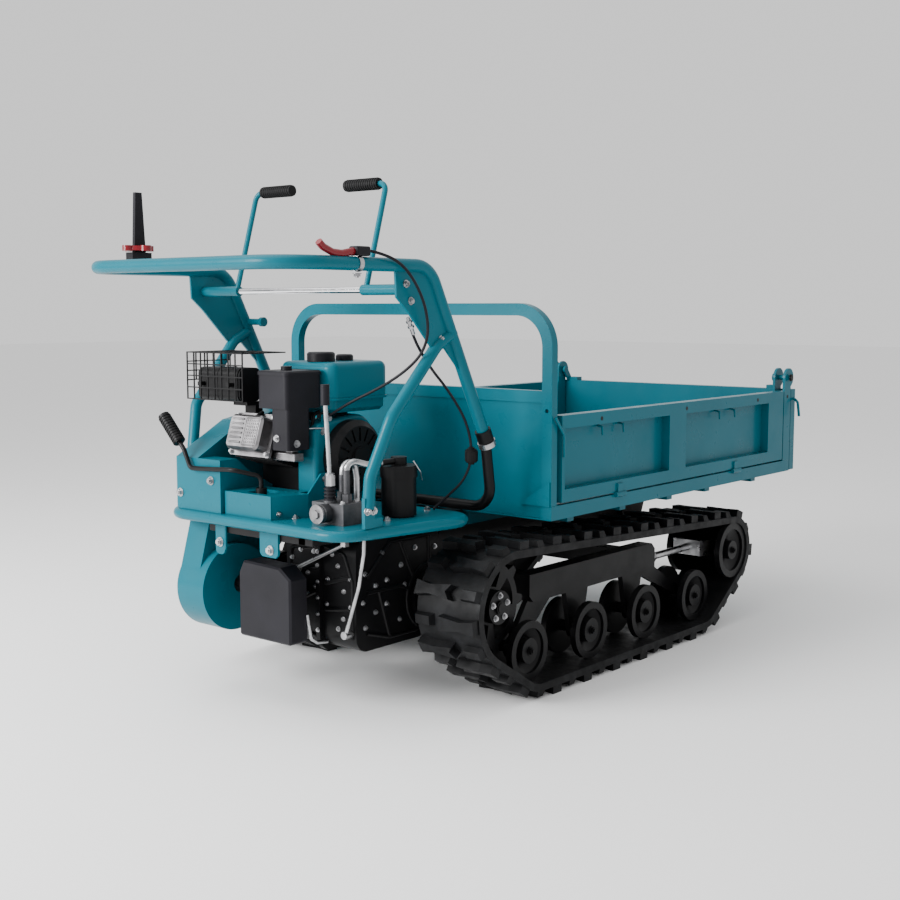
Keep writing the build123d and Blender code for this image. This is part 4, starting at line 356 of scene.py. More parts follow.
def new_tree(name, inputs):
    """Geometry tree with a mesh input, named number inputs, a material input and a mesh output."""
    tree = bpy.data.node_groups.new(name, "GeometryNodeTree")
    tree.interface.new_socket("Geometry", in_out="INPUT", socket_type="NodeSocketGeometry")
    for label, value in inputs.items():
        socket = tree.interface.new_socket(label, in_out="INPUT", socket_type="NodeSocketFloat")
        socket.default_value = value
    tree.interface.new_socket("Finish", in_out="INPUT", socket_type="NodeSocketMaterial")
    tree.interface.new_socket("Geometry", in_out="OUTPUT", socket_type="NodeSocketGeometry")
    return tree, tree.nodes.new("NodeGroupInput"), tree.nodes.new("NodeGroupOutput")


def pass_out(tree, given, result, shape):
    """Make a tree's shape real, give it the chosen finish and send it to the output."""
    real = add(tree, "GeometryNodeRealizeInstances", {"Geometry": shape})
    inputs = {"Geometry": real.outputs[0], "Material": given.outputs["Finish"]}
    finish = add(tree, "GeometryNodeSetMaterial", inputs)
    tree.links.new(finish.outputs[0], result.inputs[0])


def along_facing(tree):
    """Turn that stands a shape along its point's facing."""
    facing = add(tree, "GeometryNodeInputNamedAttribute", {"Name": "facing"}, data_type="FLOAT_VECTOR")
    inputs = {"Vector": facing.outputs["Attribute"]}
    return add(tree, "FunctionNodeAlignRotationToVector", inputs, axis="Z").outputs["Rotation"]


def set_on_points(tree, given, shape, turn):
    """Shape set on every point of the mesh that the tree is given."""
    inputs = {"Points": given.outputs["Geometry"], "Instance": shape, "Rotation": turn}
    return add(tree, "GeometryNodeInstanceOnPoints", inputs).outputs[0]


def layer_sizes(layers, scale=1.0):
    """Sizes in metres of a stack's layers, by the labels of its inputs."""
    sizes = {}
    for label, _, radius, base, height in layers:
        sizes[label + " radius"] = radius * scale * MM
        sizes[label + " base"] = base * scale * MM
        sizes[label + " height"] = height * scale * MM
    return sizes


def stack_tree(name, layers):
    """Stack of round or many-sided layers on every point: label, sides, radius, base, height."""
    tree, given, result = new_tree(name, layer_sizes(layers))
    join = add(tree, "GeometryNodeJoinGeometry")
    for label, sides, *_ in layers:
        height = given.outputs[label + " height"]
        inputs = {"Vertices": sides, "Radius": given.outputs[label + " radius"], "Depth": height}
        disc = add(tree, "GeometryNodeMeshCylinder", inputs)
        half = math_node(tree, "MULTIPLY", height, 0.5)
        middle = math_node(tree, "ADD", half, given.outputs[label + " base"])
        lift = add(tree, "ShaderNodeCombineXYZ", {"Z": middle})
        inputs = {"Geometry": disc.outputs["Mesh"], "Translation": lift.outputs[0]}
        moved = add(tree, "GeometryNodeTransform", inputs)
        tree.links.new(moved.outputs[0], join.inputs[0])
    pass_out(tree, given, result, set_on_points(tree, given, join.outputs[0], along_facing(tree)))
    return tree


def rod_tree():
    """Round bar along every run of edges, with its corners rounded."""
    tree, given, result = new_tree("bent_rods", {"Bar radius": 4.0 * MM, "Bend radius": 12.0 * MM})
    line = add(tree, "GeometryNodeMeshToCurve", {"Mesh": given.outputs["Geometry"]})
    inputs = {"Curve": line.outputs[0], "Count": 5, "Limit Radius": True,
              "Radius": given.outputs["Bend radius"]}
    bends = add(tree, "GeometryNodeFilletCurve", inputs, mode="POLY")
    inputs = {"Resolution": 12, "Radius": given.outputs["Bar radius"]}
    profile = add(tree, "GeometryNodeCurvePrimitiveCircle", inputs)
    inputs = {"Curve": bends.outputs[0], "Profile Curve": profile.outputs[0], "Fill Caps": True}
    bar = add(tree, "GeometryNodeCurveToMesh", inputs)
    pass_out(tree, given, result, bar.outputs[0])
    return tree


def grow(name, finish, tree, mesh, sizes=None, body="chassis"):
    """Run a geometry tree on a small mesh of places and keep the result as one plain piece."""
    piece = link_new(name, mesh)
    modifier = piece.modifiers.new("shape", "NODES")
    modifier.node_group = tree
    sockets = {s.name: s.identifier for s in tree.interface.items_tree if s.in_out == "INPUT"}
    for label, value in (sizes or {}).items():
        modifier[sockets[label]] = value
    modifier[sockets["Finish"]] = FINISHES[finish]
    result = shown_mesh(piece)
    piece.modifiers.remove(modifier)
    piece.data = result
    result.name = name
    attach(piece, body)
    return piece


def faced_points(name, rows):
    """Mesh of loose points, each with the direction that it faces."""
    mesh = bpy.data.meshes.new(name)
    mesh.from_pydata(scaled([at for at, _ in rows]), [], [])
    facing = mesh.attributes.new("facing", "FLOAT_VECTOR", "POINT")
    for i, (_, way) in enumerate(rows):
        facing.data[i].vector = way
    return mesh


def runs(name, lines):
    """Mesh of open runs of edges through places."""
    mesh = bpy.data.meshes.new(name)
    places, edges = [], []
    for line in lines:
        edges += [(len(places) + i, len(places) + i + 1) for i in range(len(line) - 1)]
        places += scaled(line)
    mesh.from_pydata(places, edges, [])
    return mesh


# Hexagon bolt: label, sides, radius, base, height
BOLT_LAYERS = [("Washer", 16, 9.5, 0, 1.6), ("Head", 6, 7.2, 1.6, 5.4), ("Thread", 10, 4.0, 7.0, 2.6)]
HEX_BOLT = stack_tree("hex_bolt", BOLT_LAYERS)
ROD = rod_tree()


def set_on(name, finish, tree, places, way, sizes=None, body="chassis"):
    """Grow a tree's shape on places that all face one way."""
    return grow(name, finish, tree, faced_points(name, [(at, way) for at in places]), sizes, body)


def set_stack(name, finish, layers, places, way, body="chassis"):
    """Stacks of layers on places that all face one way."""
    return set_on(name, finish, stack_tree(name, layers), places, way, body=body)


def bent_rods(name, finish, lines, bar, bend, body="chassis"):
    """Round bars along open runs of places."""
    sizes = {"Bar radius": bar * MM, "Bend radius": bend * MM}
    return grow(name, finish, ROD, runs(name, lines), sizes, body)


def smooth_sides(piece):
    """Smooth shading on a bar's sides, with its round ends left flat."""
    for face in piece.data.polygons:
        face.use_smooth = len(face.vertices) == 4


def bevelled_boxes(name, finish, blocks, bevel):
    """Closed boxes with bevelled edges, each from its lowest to its highest corner."""
    shape = bmesh.new()
    for block in blocks:
        low, high = scaled(block)
        place = Matrix.Translation((low + high) / 2) @ Matrix.Diagonal((*(high - low), 1.0))
        bmesh.ops.create_cube(shape, size=1.0, matrix=place)
    edges = list(shape.edges)
    bmesh.ops.bevel(shape, geom=edges, offset=bevel * MM, segments=2, affect="EDGES", profile=0.5)
    mesh = bpy.data.meshes.new(name)
    shape.to_mesh(mesh)
    shape.free()
    mesh.materials.append(FINISHES[finish])
    piece = link_new(name, mesh)
    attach(piece, "chassis")
    return piece


# Places that the pieces share

FRONT, REAR = (1, 0, 0), (-1, 0, 0)
RIGHT, LEFT = (0, -1, 0), (0, 1, 0)
UP, DOWN = (0, 0, 1), (0, 0, -1)
# Sides: name, sign of Y, way out
SIDES = (("right", -1, RIGHT), ("left", 1, LEFT))
SPROCKET_X, SPROCKET_Z, SPROCKET_FACE_Y = -444.0, 256.0, 430.0
IDLER_X, IDLER_Z = 713.0, 245.0
ROLLER_XS = [-330.0 + 290.0 * i for i in range(4)]
ROLLER_Z = 122.0
ROLLER_NUT_Y, IDLER_NUT_Y = 443.0, 479.0
GEARBOX_REAR_X, GEARBOX_SEAM_X = -722.0, -734.0
GEARBOX_RIGHT_Y, GEARBOX_LEFT_Y = -190.0, 60.0
AXLE_FLANGE_OUT = 14.0
DECK_TOP = 498.0
HANGER_REAR_X = -877.0
HANGER_YS = (-48.0, 140.0)
GATE_FACE_Y = 484.0


def mirrored(places):
    """Places on the machine's other side."""
    return [(x, -y, z) for x, y, z in places]


def ring(centre, radius, count, start=0.0):
    """Places spaced evenly on a circle round an axis across the machine."""
    x, y, z = centre
    turns = [math.radians(start + 360 * i / count) for i in range(count)]
    return [(x + radius * math.cos(a), y, z + radius * math.sin(a)) for a in turns]


# Bolts

def bolt_pair(name, scale, right_places):
    """Rows of the table of bolts for like bolts on both sides."""
    return [(name + "_right", RIGHT, scale, right_places),
            (name + "_left", LEFT, scale, mirrored(right_places))]


def axle_flange(y):
    """Bolts round the gearbox's axle at a face."""
    return ring((SPROCKET_X, y, SPROCKET_Z), radius=63, count=3, start=30)


# Gearbox bolts: Y and Z on its rear face, X and Z on its sides
GEARBOX_REAR_BOLTS = [
    (-128, 368), (-148, 305), (-18, 283), (-46, 305), (-87, 265), (-145, 234), (-12, 200), (14, 214),
    (-42, 396), (5, 396), (-108, 396), (38, 372), (-19, 338), (-128, 206), (-172, 268), (-172, 340),
    (-92, 330), (40, 226)]
GEARBOX_RIGHT_BOLTS = [
    (-697, 277), (-652, 246), (-690, 212), (-609, 323), (-651, 315), (-555, 354), (-610, 261),
    (-560, 212), (-627, 396), (-500, 392), (-540, 300), (-690, 350), (-420, 384)]
GEARBOX_LEFT_BOLTS = [
    (-697, 200), (-620, 190), (-690, 380), (-609, 400), (-540, 396), (-560, 212), (-500, 392), (-420, 384)]
# Deck bolts: X and Y
DECK_BOLTS = [(-515, -247), (-705, -281), (-826, -84), (-870, 180), (-515, 247), (-600, 300), (-730, 310)]
# Bolts and nuts of the right side's wheels: X, Y and Z
SPROCKET_BOLTS = ring((SPROCKET_X, -SPROCKET_FACE_Y, SPROCKET_Z), radius=31, count=5, start=18)
WHEEL_NUTS = [*[(x, -ROLLER_NUT_Y, ROLLER_Z) for x in ROLLER_XS], (IDLER_X, -IDLER_NUT_Y, IDLER_Z)]

# Bolts: name, way, scale, places
BOLTS = [
    ("gearbox_rear_bolts", REAR, 0.72, [(GEARBOX_REAR_X, y, z) for y, z in GEARBOX_REAR_BOLTS]),
    ("gearbox_seam_bolts", REAR, 0.62, [(GEARBOX_SEAM_X, -66, z) for z in (196, 238, 280, 322, 364, 400)]),
    ("gearbox_right_bolts", RIGHT, 0.78, [(x, GEARBOX_RIGHT_Y, z) for x, z in GEARBOX_RIGHT_BOLTS]),
    ("gearbox_left_bolts", LEFT, 0.78, [(x, GEARBOX_LEFT_Y, z) for x, z in GEARBOX_LEFT_BOLTS]),
    ("axle_flange_bolts_right", RIGHT, 0.9, axle_flange(GEARBOX_RIGHT_Y - AXLE_FLANGE_OUT)),
    ("axle_flange_bolts_left", LEFT, 0.9, axle_flange(GEARBOX_LEFT_Y + AXLE_FLANGE_OUT)),
    ("deck_bolts", UP, 1.1, [(x, y, DECK_TOP) for x, y in DECK_BOLTS]),
    *bolt_pair("rear_foot_bolts", 1.1, [(-828, -331, 541), (-808, -331, 540)]),
    *bolt_pair("gusset_bolts", 1.0, [(-609, -373, 941), (-736, -373, 1073), (-719, -373, 1033)]),
    *bolt_pair("sprocket_bolts", 0.9, SPROCKET_BOLTS),
    *bolt_pair("wheel_nuts", 1.3, WHEEL_NUTS),
    ("housing_screws", REAR, 1.2, [(-897, 148, 580), (-897, 270, 540)]),
    ("housing_side_bolts", LEFT, 1.0, [(x, 296, z) for x, z in (
        (-860, 530), (-860, 610), (-570, 530), (-575, 690), (-730, 690))]),
    ("belt_cover_bolts", LEFT, 1.0, ring((-782, 301, 282), radius=92, count=6, start=30)),
    ("console_screws", RIGHT, 0.8, [(-868, -70, 512), (-740, -100, 512), (-740, -100, 590)]),
    ("air_cleaner_screw_rear", REAR, 0.95, [(-838, -35, 695)]),
    ("air_cleaner_screw_side", RIGHT, 1.0, [(-811, -76, 682)]),
    ("shroud_bolts", RIGHT, 0.8, [(-732, -84, 556), (-728, -84, 706), (-552, -84, 556)]),
    ("valve_bolts", UP, 0.8, [(-775, -245, 550), (-775, -168, 550), (-829, -250, 550)]),
    ("hanger_bolts", REAR, 1.3, [(HANGER_REAR_X, y, 421) for y in HANGER_YS]),
    ("throttle_clamp_screw", DOWN, 1.1, [(-897, -370, 1095)]),
]


def fit_bolts():
    """Hexagon bolts and nuts, plated apart from the black wheel nuts."""
    for name, way, scale, places in BOLTS:
        finish = "black_paint" if name.startswith("wheel_nuts") else "bare_steel"
        set_on(name, finish, HEX_BOLT, places, way, layer_sizes(BOLT_LAYERS, scale))


# Pin caps, and dark discs painted as the shade inside the rope holes: label, sides, radius, base, height
CAP_LAYERS = [("Rim", 24, 12.0, 0, 3.0), ("Crown", 24, 9.0, 3.0, 1.6)]
WIDE_CAP_LAYERS = [("Rim", 24, 18.0, 0, 6.0), ("Crown", 24, 14.0, 6.0, 2.0)]
HOLE_SHADE_LAYERS = [("Disc", 20, 6.0, 0, 0.4)]
HOLE_Z = 719
GATE_HOLE_XS = (-64, 395, 854)
POST_HOLE_X = 1070
FRONT_PIN_X, FRONT_PIN_Y, FRONT_PIN_Z = 1080, 490, 782


def fit_caps_and_holes():
    """Pin caps of the front gate and sprockets, and dark discs painted as the shade inside the rope holes.
    """
    for word, side, way in SIDES:
        pin = (FRONT_PIN_X, side * FRONT_PIN_Y, FRONT_PIN_Z)
        set_stack("front_pin_cap_" + word, "black_paint", CAP_LAYERS, [pin], way, "front_gate_body")
        # Thin black discs painted as the shade inside the rope holes, on the gates and the post
        holes = [(x, side * GATE_FACE_Y, HOLE_Z) for x in GATE_HOLE_XS]
        set_stack("gate_hole_shade_" + word, "black_paint", HOLE_SHADE_LAYERS, holes, way, word + "_gate")
        post = (POST_HOLE_X, side * GATE_FACE_Y, HOLE_Z)
        set_stack("post_hole_shade_" + word, "black_paint", HOLE_SHADE_LAYERS, [post], way, "bed")
        hub = (SPROCKET_X, side * SPROCKET_FACE_Y, SPROCKET_Z)
        set_stack("sprocket_cap_" + word, "black_paint", WIDE_CAP_LAYERS, [hub], way)


# Rods, hooks, latches, pipes and the strap

def rod_pair(name, bodies, bar, bend, right_lines):
    """Rows of the table of rods for like painted rods on both sides."""
    left_lines = [mirrored(line) for line in right_lines]
    return [(name + "_right", bodies[0], "teal_paint", bar, bend, right_lines),
            (name + "_left", bodies[1], "teal_paint", bar, bend, left_lines)]


SIDE_GATES = ("right_gate", "left_gate")
FRONT_GATE = ("front_gate_body", "front_gate_body")
GATE_HOOKS = [[(x, -458.5, 698), (x, -475, 695), (x, -477, 672)] for x in (-49, 58, 613, 712)]
REAR_LATCH = [
    [(-288, -490, 734), (-251, -490, 688), (-250, -490, 630)],
    [(-246, -482, 690), (-251, -491, 690)],
]
FRONT_LATCH = [[(1116, -470, 712), (1114, -491, 708), (1110, -503, 698), (1108, -510, 651)]]

# Rods: name, body, finish, bar radius, bend radius, runs
RODS = [
    *rod_pair("gate_hooks", SIDE_GATES, 3.0, 5.0, GATE_HOOKS),
    *rod_pair("rear_latch", SIDE_GATES, 4.0, 14.0, REAR_LATCH),
    *rod_pair("front_latch", FRONT_GATE, 4.5, 12.0, FRONT_LATCH),
    ("valve_pipes", "chassis", "bare_steel", 8.5, 22.0,
     [[(-796, -232, 626), (-796, -232, 654), (-748, -254, 638), (-698, -254, 638)],
      [(-772, -196, 610), (-772, -197, 640), (-734, -200, 640), (-728, -202, 600), (-728, -202, 497)]]),
    ("filter_wire", "chassis", "bare_steel", 2.0, 18.0,
     [[(-631, -303, 640), (-606, -303, 612), (-586, -292, 588)]]),
    ("tank_strap", "chassis", "bare_steel", 5.0, 16.0,
     [[(-797, -92, 250), (-797, -97, 225), (-792, -100, 190), (-770, -100, 176), (-735, -100, 172)]]),
    ("fuel_hose_stub", "chassis", "black_rubber", 4.5, 14.0,
     [[(-716, -60, 756), (-734, -60, 750), (-742, -58, 716), (-742, -50, 700)]]),
    ("throttle_link", "chassis", "bare_steel", 2.0, 4.0, [[(-762, -70, 716), (-728, -88, 716)]]),
    ("rocker_lead", "chassis", "black_rubber", 5.5, 26.0,
     [[(-793, 66, 752), (-822, 60, 742), (-826, 30, 712), (-812, 24, 655), (-780, 22, 640)]]),
]


def fit_rods():
    """Bent rods, hooks, latches, pipes and the strap."""
    for name, body, finish, bar, bend, lines in RODS:
        smooth_sides(bent_rods(name, finish, lines, bar, bend, body))


# Gearbox ribs: runs of Y and Z on its rear face, runs of X and Z on its right side
GEARBOX_REAR_RIBS = [
    [(-176, 186), (-178, 330), (-150, 400), (-84, 412)],
    [(-84, 250), (-172, 262)],
    [(-84, 318), (-174, 344)],
    [(-50, 176), (38, 190), (52, 300), (38, 400), (-50, 412)],
    [(-50, 292), (50, 246)],
    [(-50, 352), (46, 352)],
]
GEARBOX_RIGHT_RIBS = [
    [(-684, 196), (-600, 172), (-500, 172), (-420, 190)],
    [(-684, 300), (-560, 300), (-530, 290)],
    [(-684, 340), (-600, 420), (-440, 420)],
    [(-510, 320), (-560, 420)],
    [(-600, 172), (-640, 300)],
    [(-444, 345), (-444, 420)],
]
AXLE_RING_R = 88.0


def fit_gearbox_ribs():
    """Ribs of the gearbox's casting and the ring round its axle housing."""
    lines = [[(GEARBOX_REAR_X, y, z) for y, z in line] for line in GEARBOX_REAR_RIBS]
    lines += [[(x, GEARBOX_RIGHT_Y, z) for x, z in line] for line in GEARBOX_RIGHT_RIBS]
    circle = ring((SPROCKET_X, GEARBOX_RIGHT_Y, SPROCKET_Z), AXLE_RING_R, count=24)
    bent_rods("gearbox_ribs", "black_paint", [*lines, [*circle, circle[0]]], bar=5.5, bend=15.0)


# Deck support

RAIL_Y = 165.0
RAIL_HALF = 25.0
BEAM_BOTTOM, BEAM_TOP = 444.7, 492.7
# Rails under the deck: rear, front, bottom, top
RAIL_STEPS = [
    (-870, -501, BEAM_BOTTOM, BEAM_TOP),
    (-505, -399, BEAM_BOTTOM, 469.7),
    (-399.7, -300, 424.3, 469.7),
]
# Beams across the deck: rear, front, top
CROSS_BEAMS = [(-640, -600, BEAM_TOP), (-870, -850, 470)]
HANGER_HALF = 20.0
HANGER_FRONT_X, HANGER_BOTTOM = -870.0, 402.0


def fit_deck_support():
    """Black beams under the deck and the two painted hanger lugs at its rear edge."""
    blocks = [((rear, -RAIL_Y, BEAM_BOTTOM), (front, RAIL_Y, top)) for rear, front, top in CROSS_BEAMS]
    for _, side, _ in SIDES:
        right, left = side * RAIL_Y - RAIL_HALF, side * RAIL_Y + RAIL_HALF
        blocks += [((rear, right, bottom), (front, left, top)) for rear, front, bottom, top in RAIL_STEPS]
    beams = bevelled_boxes("deck_beams", "black_paint", blocks, bevel=1.5)
    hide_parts("deck_support")
    lugs = [((HANGER_REAR_X, y - HANGER_HALF, HANGER_BOTTOM), (HANGER_FRONT_X, y + HANGER_HALF, BEAM_TOP))
            for y in HANGER_YS]
    bevelled_boxes("hanger_lugs", "teal_paint", lugs, bevel=2.0)


# Tread: short blocks that face each long lug across the belt

BELT_CARCASS = 20.0
# Wheels inside the belt: X, Z, radius
BELT_WHEELS = [
    (SPROCKET_X, SPROCKET_Z, 133.0),
    (ROLLER_XS[0], ROLLER_Z, 80.0),
    (ROLLER_XS[-1], ROLLER_Z, 80.0),
    (IDLER_X, IDLER_Z, 88.0),
]
BELT_MIDDLE_Y = 384.0
BELT_HALF = 100.0
BLOCK_FROM_EDGE = 30.0
LUG_COUNT = 44
WHEEL_STEP_DEG = 1.5
# X and Z of the lug that the count starts at, and of a place inside the belt
FIRST_LUG = (-330.0, 22.0)
INSIDE_BELT = (0.0, 182.0)


def belt_line():
    """Outer face of the belt as a closed line of X and Z places, from the lug that the count starts at."""
    turns = [math.radians(WHEEL_STEP_DEG * i) for i in range(round(360 / WHEEL_STEP_DEG))]
    cloud = []
    for x, z, radius in BELT_WHEELS:
        outer = radius + BELT_CARCASS
        cloud += [(x + outer * math.cos(a), z + outer * math.sin(a)) for a in turns]
    line = [Vector(cloud[i]) for i in geometry.convex_hull_2d(cloud)]
    first = min(range(len(line)), key=lambda i: (line[i] - Vector(FIRST_LUG)).length)
    line = line[first:] + line[:first + 1]
    return line if line[1].x < line[0].x else line[::-1]


def along_line(line, distance):
    """Place and outward way at a distance along the line."""
    for a, b in zip(line, line[1:]):
        step = (b - a).length
        if distance <= step:
            way = (b - a).normalized()
            out = Vector((way.y, -way.x))
            at = a.lerp(b, distance / step)
            return at, out if out.dot(at - Vector(INSIDE_BELT)) > 0 else -out
        distance -= step
    return line[-1], Vector((-1.0, 0.0))


def tread_tree():
    """Tapered block set on every point, its length across the belt."""
    sizes = {"Block width": 30.0 * MM, "Block length": 56.0 * MM, "Block height": 17.0 * MM}
    tree, given, result = new_tree("tread_block", sizes)
    inputs = {"Vertices": 4, "Radius Top": 0.4, "Radius Bottom": 0.5, "Depth": 1.0}
    cone = add(tree, "GeometryNodeMeshCone", inputs)
    corner_to_side = 2 ** 0.5
    inputs = {"Geometry": cone.outputs["Mesh"], "Rotation": (0, 0, math.pi / 4),
              "Scale": (corner_to_side, corner_to_side, 1.0)}
    square = add(tree, "GeometryNodeTransform", inputs)
    inputs = {axis: given.outputs[label] for axis, label in zip("XYZ", sizes)}
    size = add(tree, "ShaderNodeCombineXYZ", inputs)
    inputs = {"Geometry": square.outputs[0], "Scale": size.outputs[0]}
    block = add(tree, "GeometryNodeTransform", inputs)
    inputs = {"Rotation": along_facing(tree), "Vector": LEFT}
    turn = add(tree, "FunctionNodeAlignRotationToVector", inputs, axis="Y", pivot_axis="Z")
    shape = set_on_points(tree, given, block.outputs[0], turn.outputs["Rotation"])
    pass_out(tree, given, result, shape)
    return tree


def fit_tread():
    """Tread blocks on both belts, at the edge across from each long lug."""
    line = belt_line()
    total = sum((b - a).length for a, b in zip(line, line[1:]))
    tree = tread_tree()
    for word, side, _ in SIDES:
        rows = []
        for i in range(LUG_COUNT):
            at, out = along_line(line, total * i / LUG_COUNT)
            lug_side = 1 if i % 2 else -1
            y = BELT_MIDDLE_Y - lug_side * (BELT_HALF - BLOCK_FROM_EDGE)
            rows.append(((at.x, side * y, at.y), (out.x, 0, out.y)))
        name = "tread_blocks_" + word
        grow(name, "track_rubber", tree, faced_points(name, rows))


# Tipping valve: rod, and layers by label, sides, radius, base, height
VALVE_ROD = [(-826.6, -206, 616), (-828, -206, 640), (-840.5, -208, 786)]
VALVE_NUT_AT = (-826, -206, 591)
VALVE_NUT_LAYERS = [("Nut", 6, 13.2, 0, 26), ("Collar", 20, 11.0, 26, 4)]
VALVE_END = (-860, -206, 526.2)
VALVE_CAP_LAYERS = [("Rim", 28, 23.6, 0, 4), ("Groove", 28, 21.0, 4, 4), ("Face", 28, 23.6, 8, 5),
                    ("Boss", 6, 11.0, 13, 6)]


def fit_valve_trim():
    """Plated rod and nut of the tipping valve's lever, and its ribbed end cap."""
    bent_rods("valve_rod_sleeve", "bare_steel", [VALVE_ROD], bar=5.8, bend=30.0)
    set_stack("valve_lever_nut", "bare_steel", VALVE_NUT_LAYERS, [VALVE_NUT_AT], UP)
    set_stack("valve_end_cap", "cast_aluminium", VALVE_CAP_LAYERS, [VALVE_END], REAR)


# Throttle lever
THROTTLE_BLADE = [(-1017, -370, 1161), (-1004, -370, 1150), (-975, -370, 1139), (-945, -370, 1137),
                  (-905, -370, 1144)]
THROTTLE_HOUSING = [((-910, -385, 1133), (-866, -356, 1155)), ((-903, -379, 1128), (-889, -361, 1136))]
THROTTLE_BAND_AT = (-904, -370, 1116)
THROTTLE_BAND_LAYERS = [("Band", 32, 18.5, 0, 13)]


def fit_throttle():
    """Thick red throttle lever in its black housing, with the steel band that holds it on the handle."""
    blade = bent_rods("throttle_blade", "red_plastic", [THROTTLE_BLADE], bar=8.5, bend=30.0)
    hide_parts("throttle_lever")
    smooth_sides(blade)
    bevelled_boxes("throttle_housing", "black_plastic", THROTTLE_HOUSING, bevel=4.0)
    set_stack("throttle_band", "bare_steel", THROTTLE_BAND_LAYERS, [THROTTLE_BAND_AT], FRONT)


# Intake behind the air cleaner
INTAKE_FLANGE = [((-802, -58, 634), (-768, 22, 655)), ((-796, -44, 655), (-772, -18, 668))]
CARBURETTOR_AT = (-778, -22, 690)
CARBURETTOR_LAYERS = [("Body", 24, 17.0, 0, 44), ("Bowl rim", 24, 19.5, 10, 6), ("Screw", 8, 5.0, 44, 5)]


def fit_intake():
    """Cast intake flange and dark carburettor behind the air cleaner."""
    bevelled_boxes("intake_flange", "cast_aluminium", INTAKE_FLANGE, bevel=3.0)
    set_stack("carburettor_body", "engine_black", CARBURETTOR_LAYERS, [CARBURETTOR_AT], RIGHT)


# Hand grips
GRIP_RIB_LAYERS = [("Ring", 24, 15.4, -1.4, 2.8)]
GEAR_GRIP_RIB_LAYERS = [("Ring", 24, 16.8, -1.8, 3.6)]
LEVER_GRIP_X, LEVER_GRIP_Z = -649.0, 1320.0
LEVER_RIB_YS = [106 + 7.5 * i for i in range(14)]
GEAR_GRIP_END = Vector((-908.0, 316.0, 734.0))
GEAR_GRIP_WAY = Vector((0.0, 76.0, 79.0)).normalized()
GEAR_RIBS_DOWN = [2 + 8.0 * i for i in range(11)]


def fit_grips():
    """Ribs on the three hand grips."""
    places = [(LEVER_GRIP_X, side * y, LEVER_GRIP_Z) for _, side, _ in SIDES for y in LEVER_RIB_YS]
    set_stack("lever_grip_ribs", "black_rubber", GRIP_RIB_LAYERS, places, LEFT)
    places = [GEAR_GRIP_END - GEAR_GRIP_WAY * down for down in GEAR_RIBS_DOWN]
    set_stack("gear_grip_ribs", "black_rubber", GEAR_GRIP_RIB_LAYERS, places, GEAR_GRIP_WAY)


# Rocker cover: the crankshaft's middle, the cylinder's slant, and the cover's outer face along it
CRANK_AT = Vector((-632.0, 82.0, 637.0))
SLANT = math.radians(18.0)
COVER_FACE = -224.3
COVER_BOLT_OUT = -36.0
STUD_LAYERS = [("Stud", 10, 2.6, 0, 1.6)]
RIB_UPS = range(-28, 33, 12)
STUD_ACROSS, STUD_UPS = range(-44, -6, 7), range(-26, 32, 8)
PANEL_EDGE = [(-50, -34), (-50, 36), (-3, 36), (-3, -34), (-50, -34)]


def on_cover(across, up, out=0.0):
    """Place on the rocker cover's outer face: across to the left, up its slope, out from it."""
    x = COVER_FACE - out
    forward = x * math.cos(SLANT) + up * math.sin(SLANT)
    rise = -x * math.sin(SLANT) + up * math.cos(SLANT)
    return tuple(CRANK_AT + Vector((forward, across, rise)))


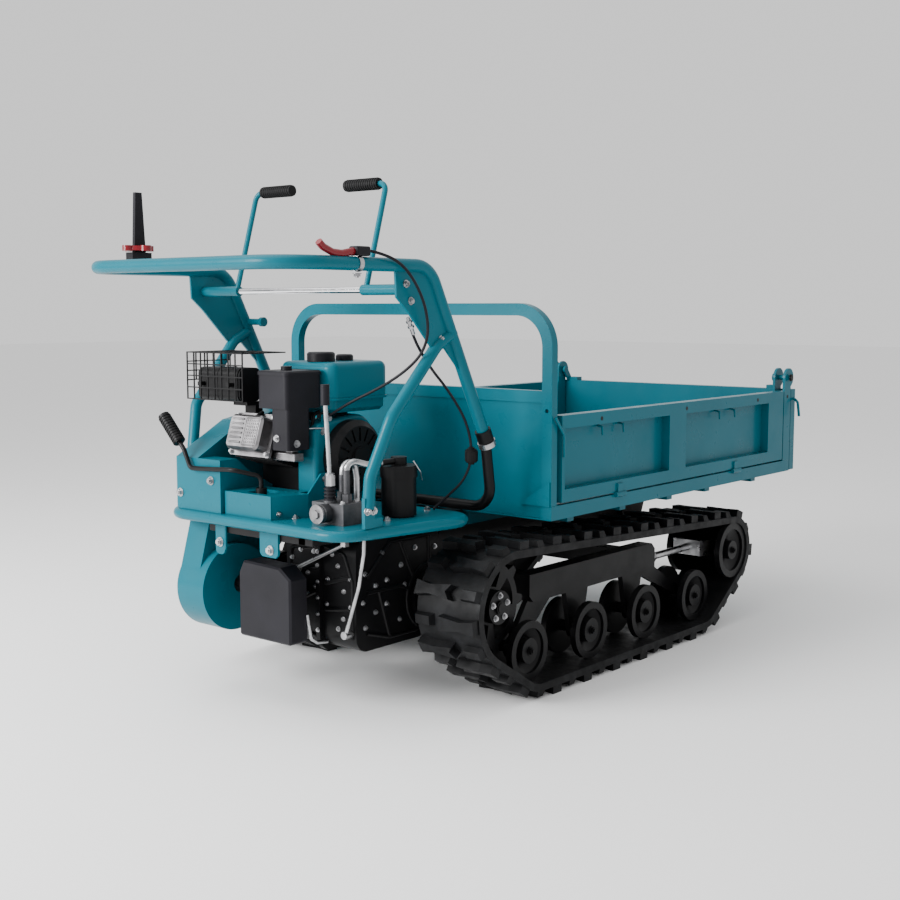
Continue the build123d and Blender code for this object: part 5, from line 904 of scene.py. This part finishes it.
def fit_rocker_cover():
    """Raised ribs on one half of the rocker cover and low studs on the other, with four bolts."""
    way = (-math.cos(SLANT), 0, math.sin(SLANT))
    ribs = [[on_cover(4, up), on_cover(46, up)] for up in RIB_UPS]
    bent_rods("cover_ribs", "cast_aluminium", ribs, bar=2.6, bend=1.0)
    studs = [on_cover(across, up) for across in STUD_ACROSS for up in STUD_UPS]
    set_stack("cover_studs", "cast_aluminium", STUD_LAYERS, studs, way)
    edge = [on_cover(across, up) for across, up in PANEL_EDGE]
    bent_rods("cover_panel_edge", "cast_aluminium", [edge], bar=2.0, bend=4.0)
    corners = [on_cover(across, up, COVER_BOLT_OUT) for across in (-66, 66) for up in (-48, 48)]
    set_on("cover_bolts", "bare_steel", HEX_BOLT, corners, way,
           {"Washer radius": 7.0 * MM, "Head radius": 5.8 * MM})


# Cable fittings: layers by label, sides, radius, base, height
ADJUSTER_LAYERS = [("Sleeve", 12, 4.6, 0, 46), ("Upper nut", 6, 8.0, 8, 6), ("Lower nut", 6, 8.0, 22, 6)]
ADJUSTER_AT = (-704, -350.5, 994)
ADJUSTER_WAY = Vector((0.5, 0.05, -0.86)).normalized()
CABLE_CLAMP_AT = (-720, -84, 741)
BOOT_LAYERS = [("Foot", 20, 8.0, -22, 44), ("Middle", 20, 17.0, -13, 26), ("Shoulder", 20, 14.0, -17, 34)]
BOOT_AT, BOOT_WAY = (-453, -343, 641), (0.05, 0.05, -1.0)
LEG_CLAMP_LAYERS = [("Band", 28, 23.5, -7, 14)]
LEG_CLAMP_AT, LEG_CLAMP_WAY = (-423, -370, 672), (0.4555, 0, -0.89)


def fit_cable_fittings():
    """Adjusters where the cables start and end, the clutch cable's rubber boot and bands on the legs."""
    tree = stack_tree("cable_adjuster", ADJUSTER_LAYERS)
    set_on("clutch_cable_adjuster", "bare_steel", tree, [ADJUSTER_AT], ADJUSTER_WAY)
    set_on("throttle_cable_clamp", "bare_steel", tree, [CABLE_CLAMP_AT], RIGHT,
           {"Sleeve height": 20.0 * MM, "Upper nut base": 2.0 * MM, "Lower nut base": 12.0 * MM})
    set_stack("clutch_cable_boot", "black_rubber", BOOT_LAYERS, [BOOT_AT], BOOT_WAY)
    legs = [LEG_CLAMP_AT, *mirrored([LEG_CLAMP_AT])]
    set_stack("leg_clamps", "bare_steel", LEG_CLAMP_LAYERS, legs, LEG_CLAMP_WAY)


place_camera()
control_cable("throttle_cable_sheath", THROTTLE_CABLE, "throttle_cable")
control_cable("clutch_cable_sheath", CLUTCH_CABLE, "clutch_cable")
build_studio()
dress_frame()
fit_deck_support()
fit_gearbox_ribs()
fit_tread()
fit_valve_trim()
fit_throttle()
fit_intake()
fit_bolts()
fit_caps_and_holes()
fit_rods()
fit_grips()
fit_rocker_cover()
fit_cable_fittings()
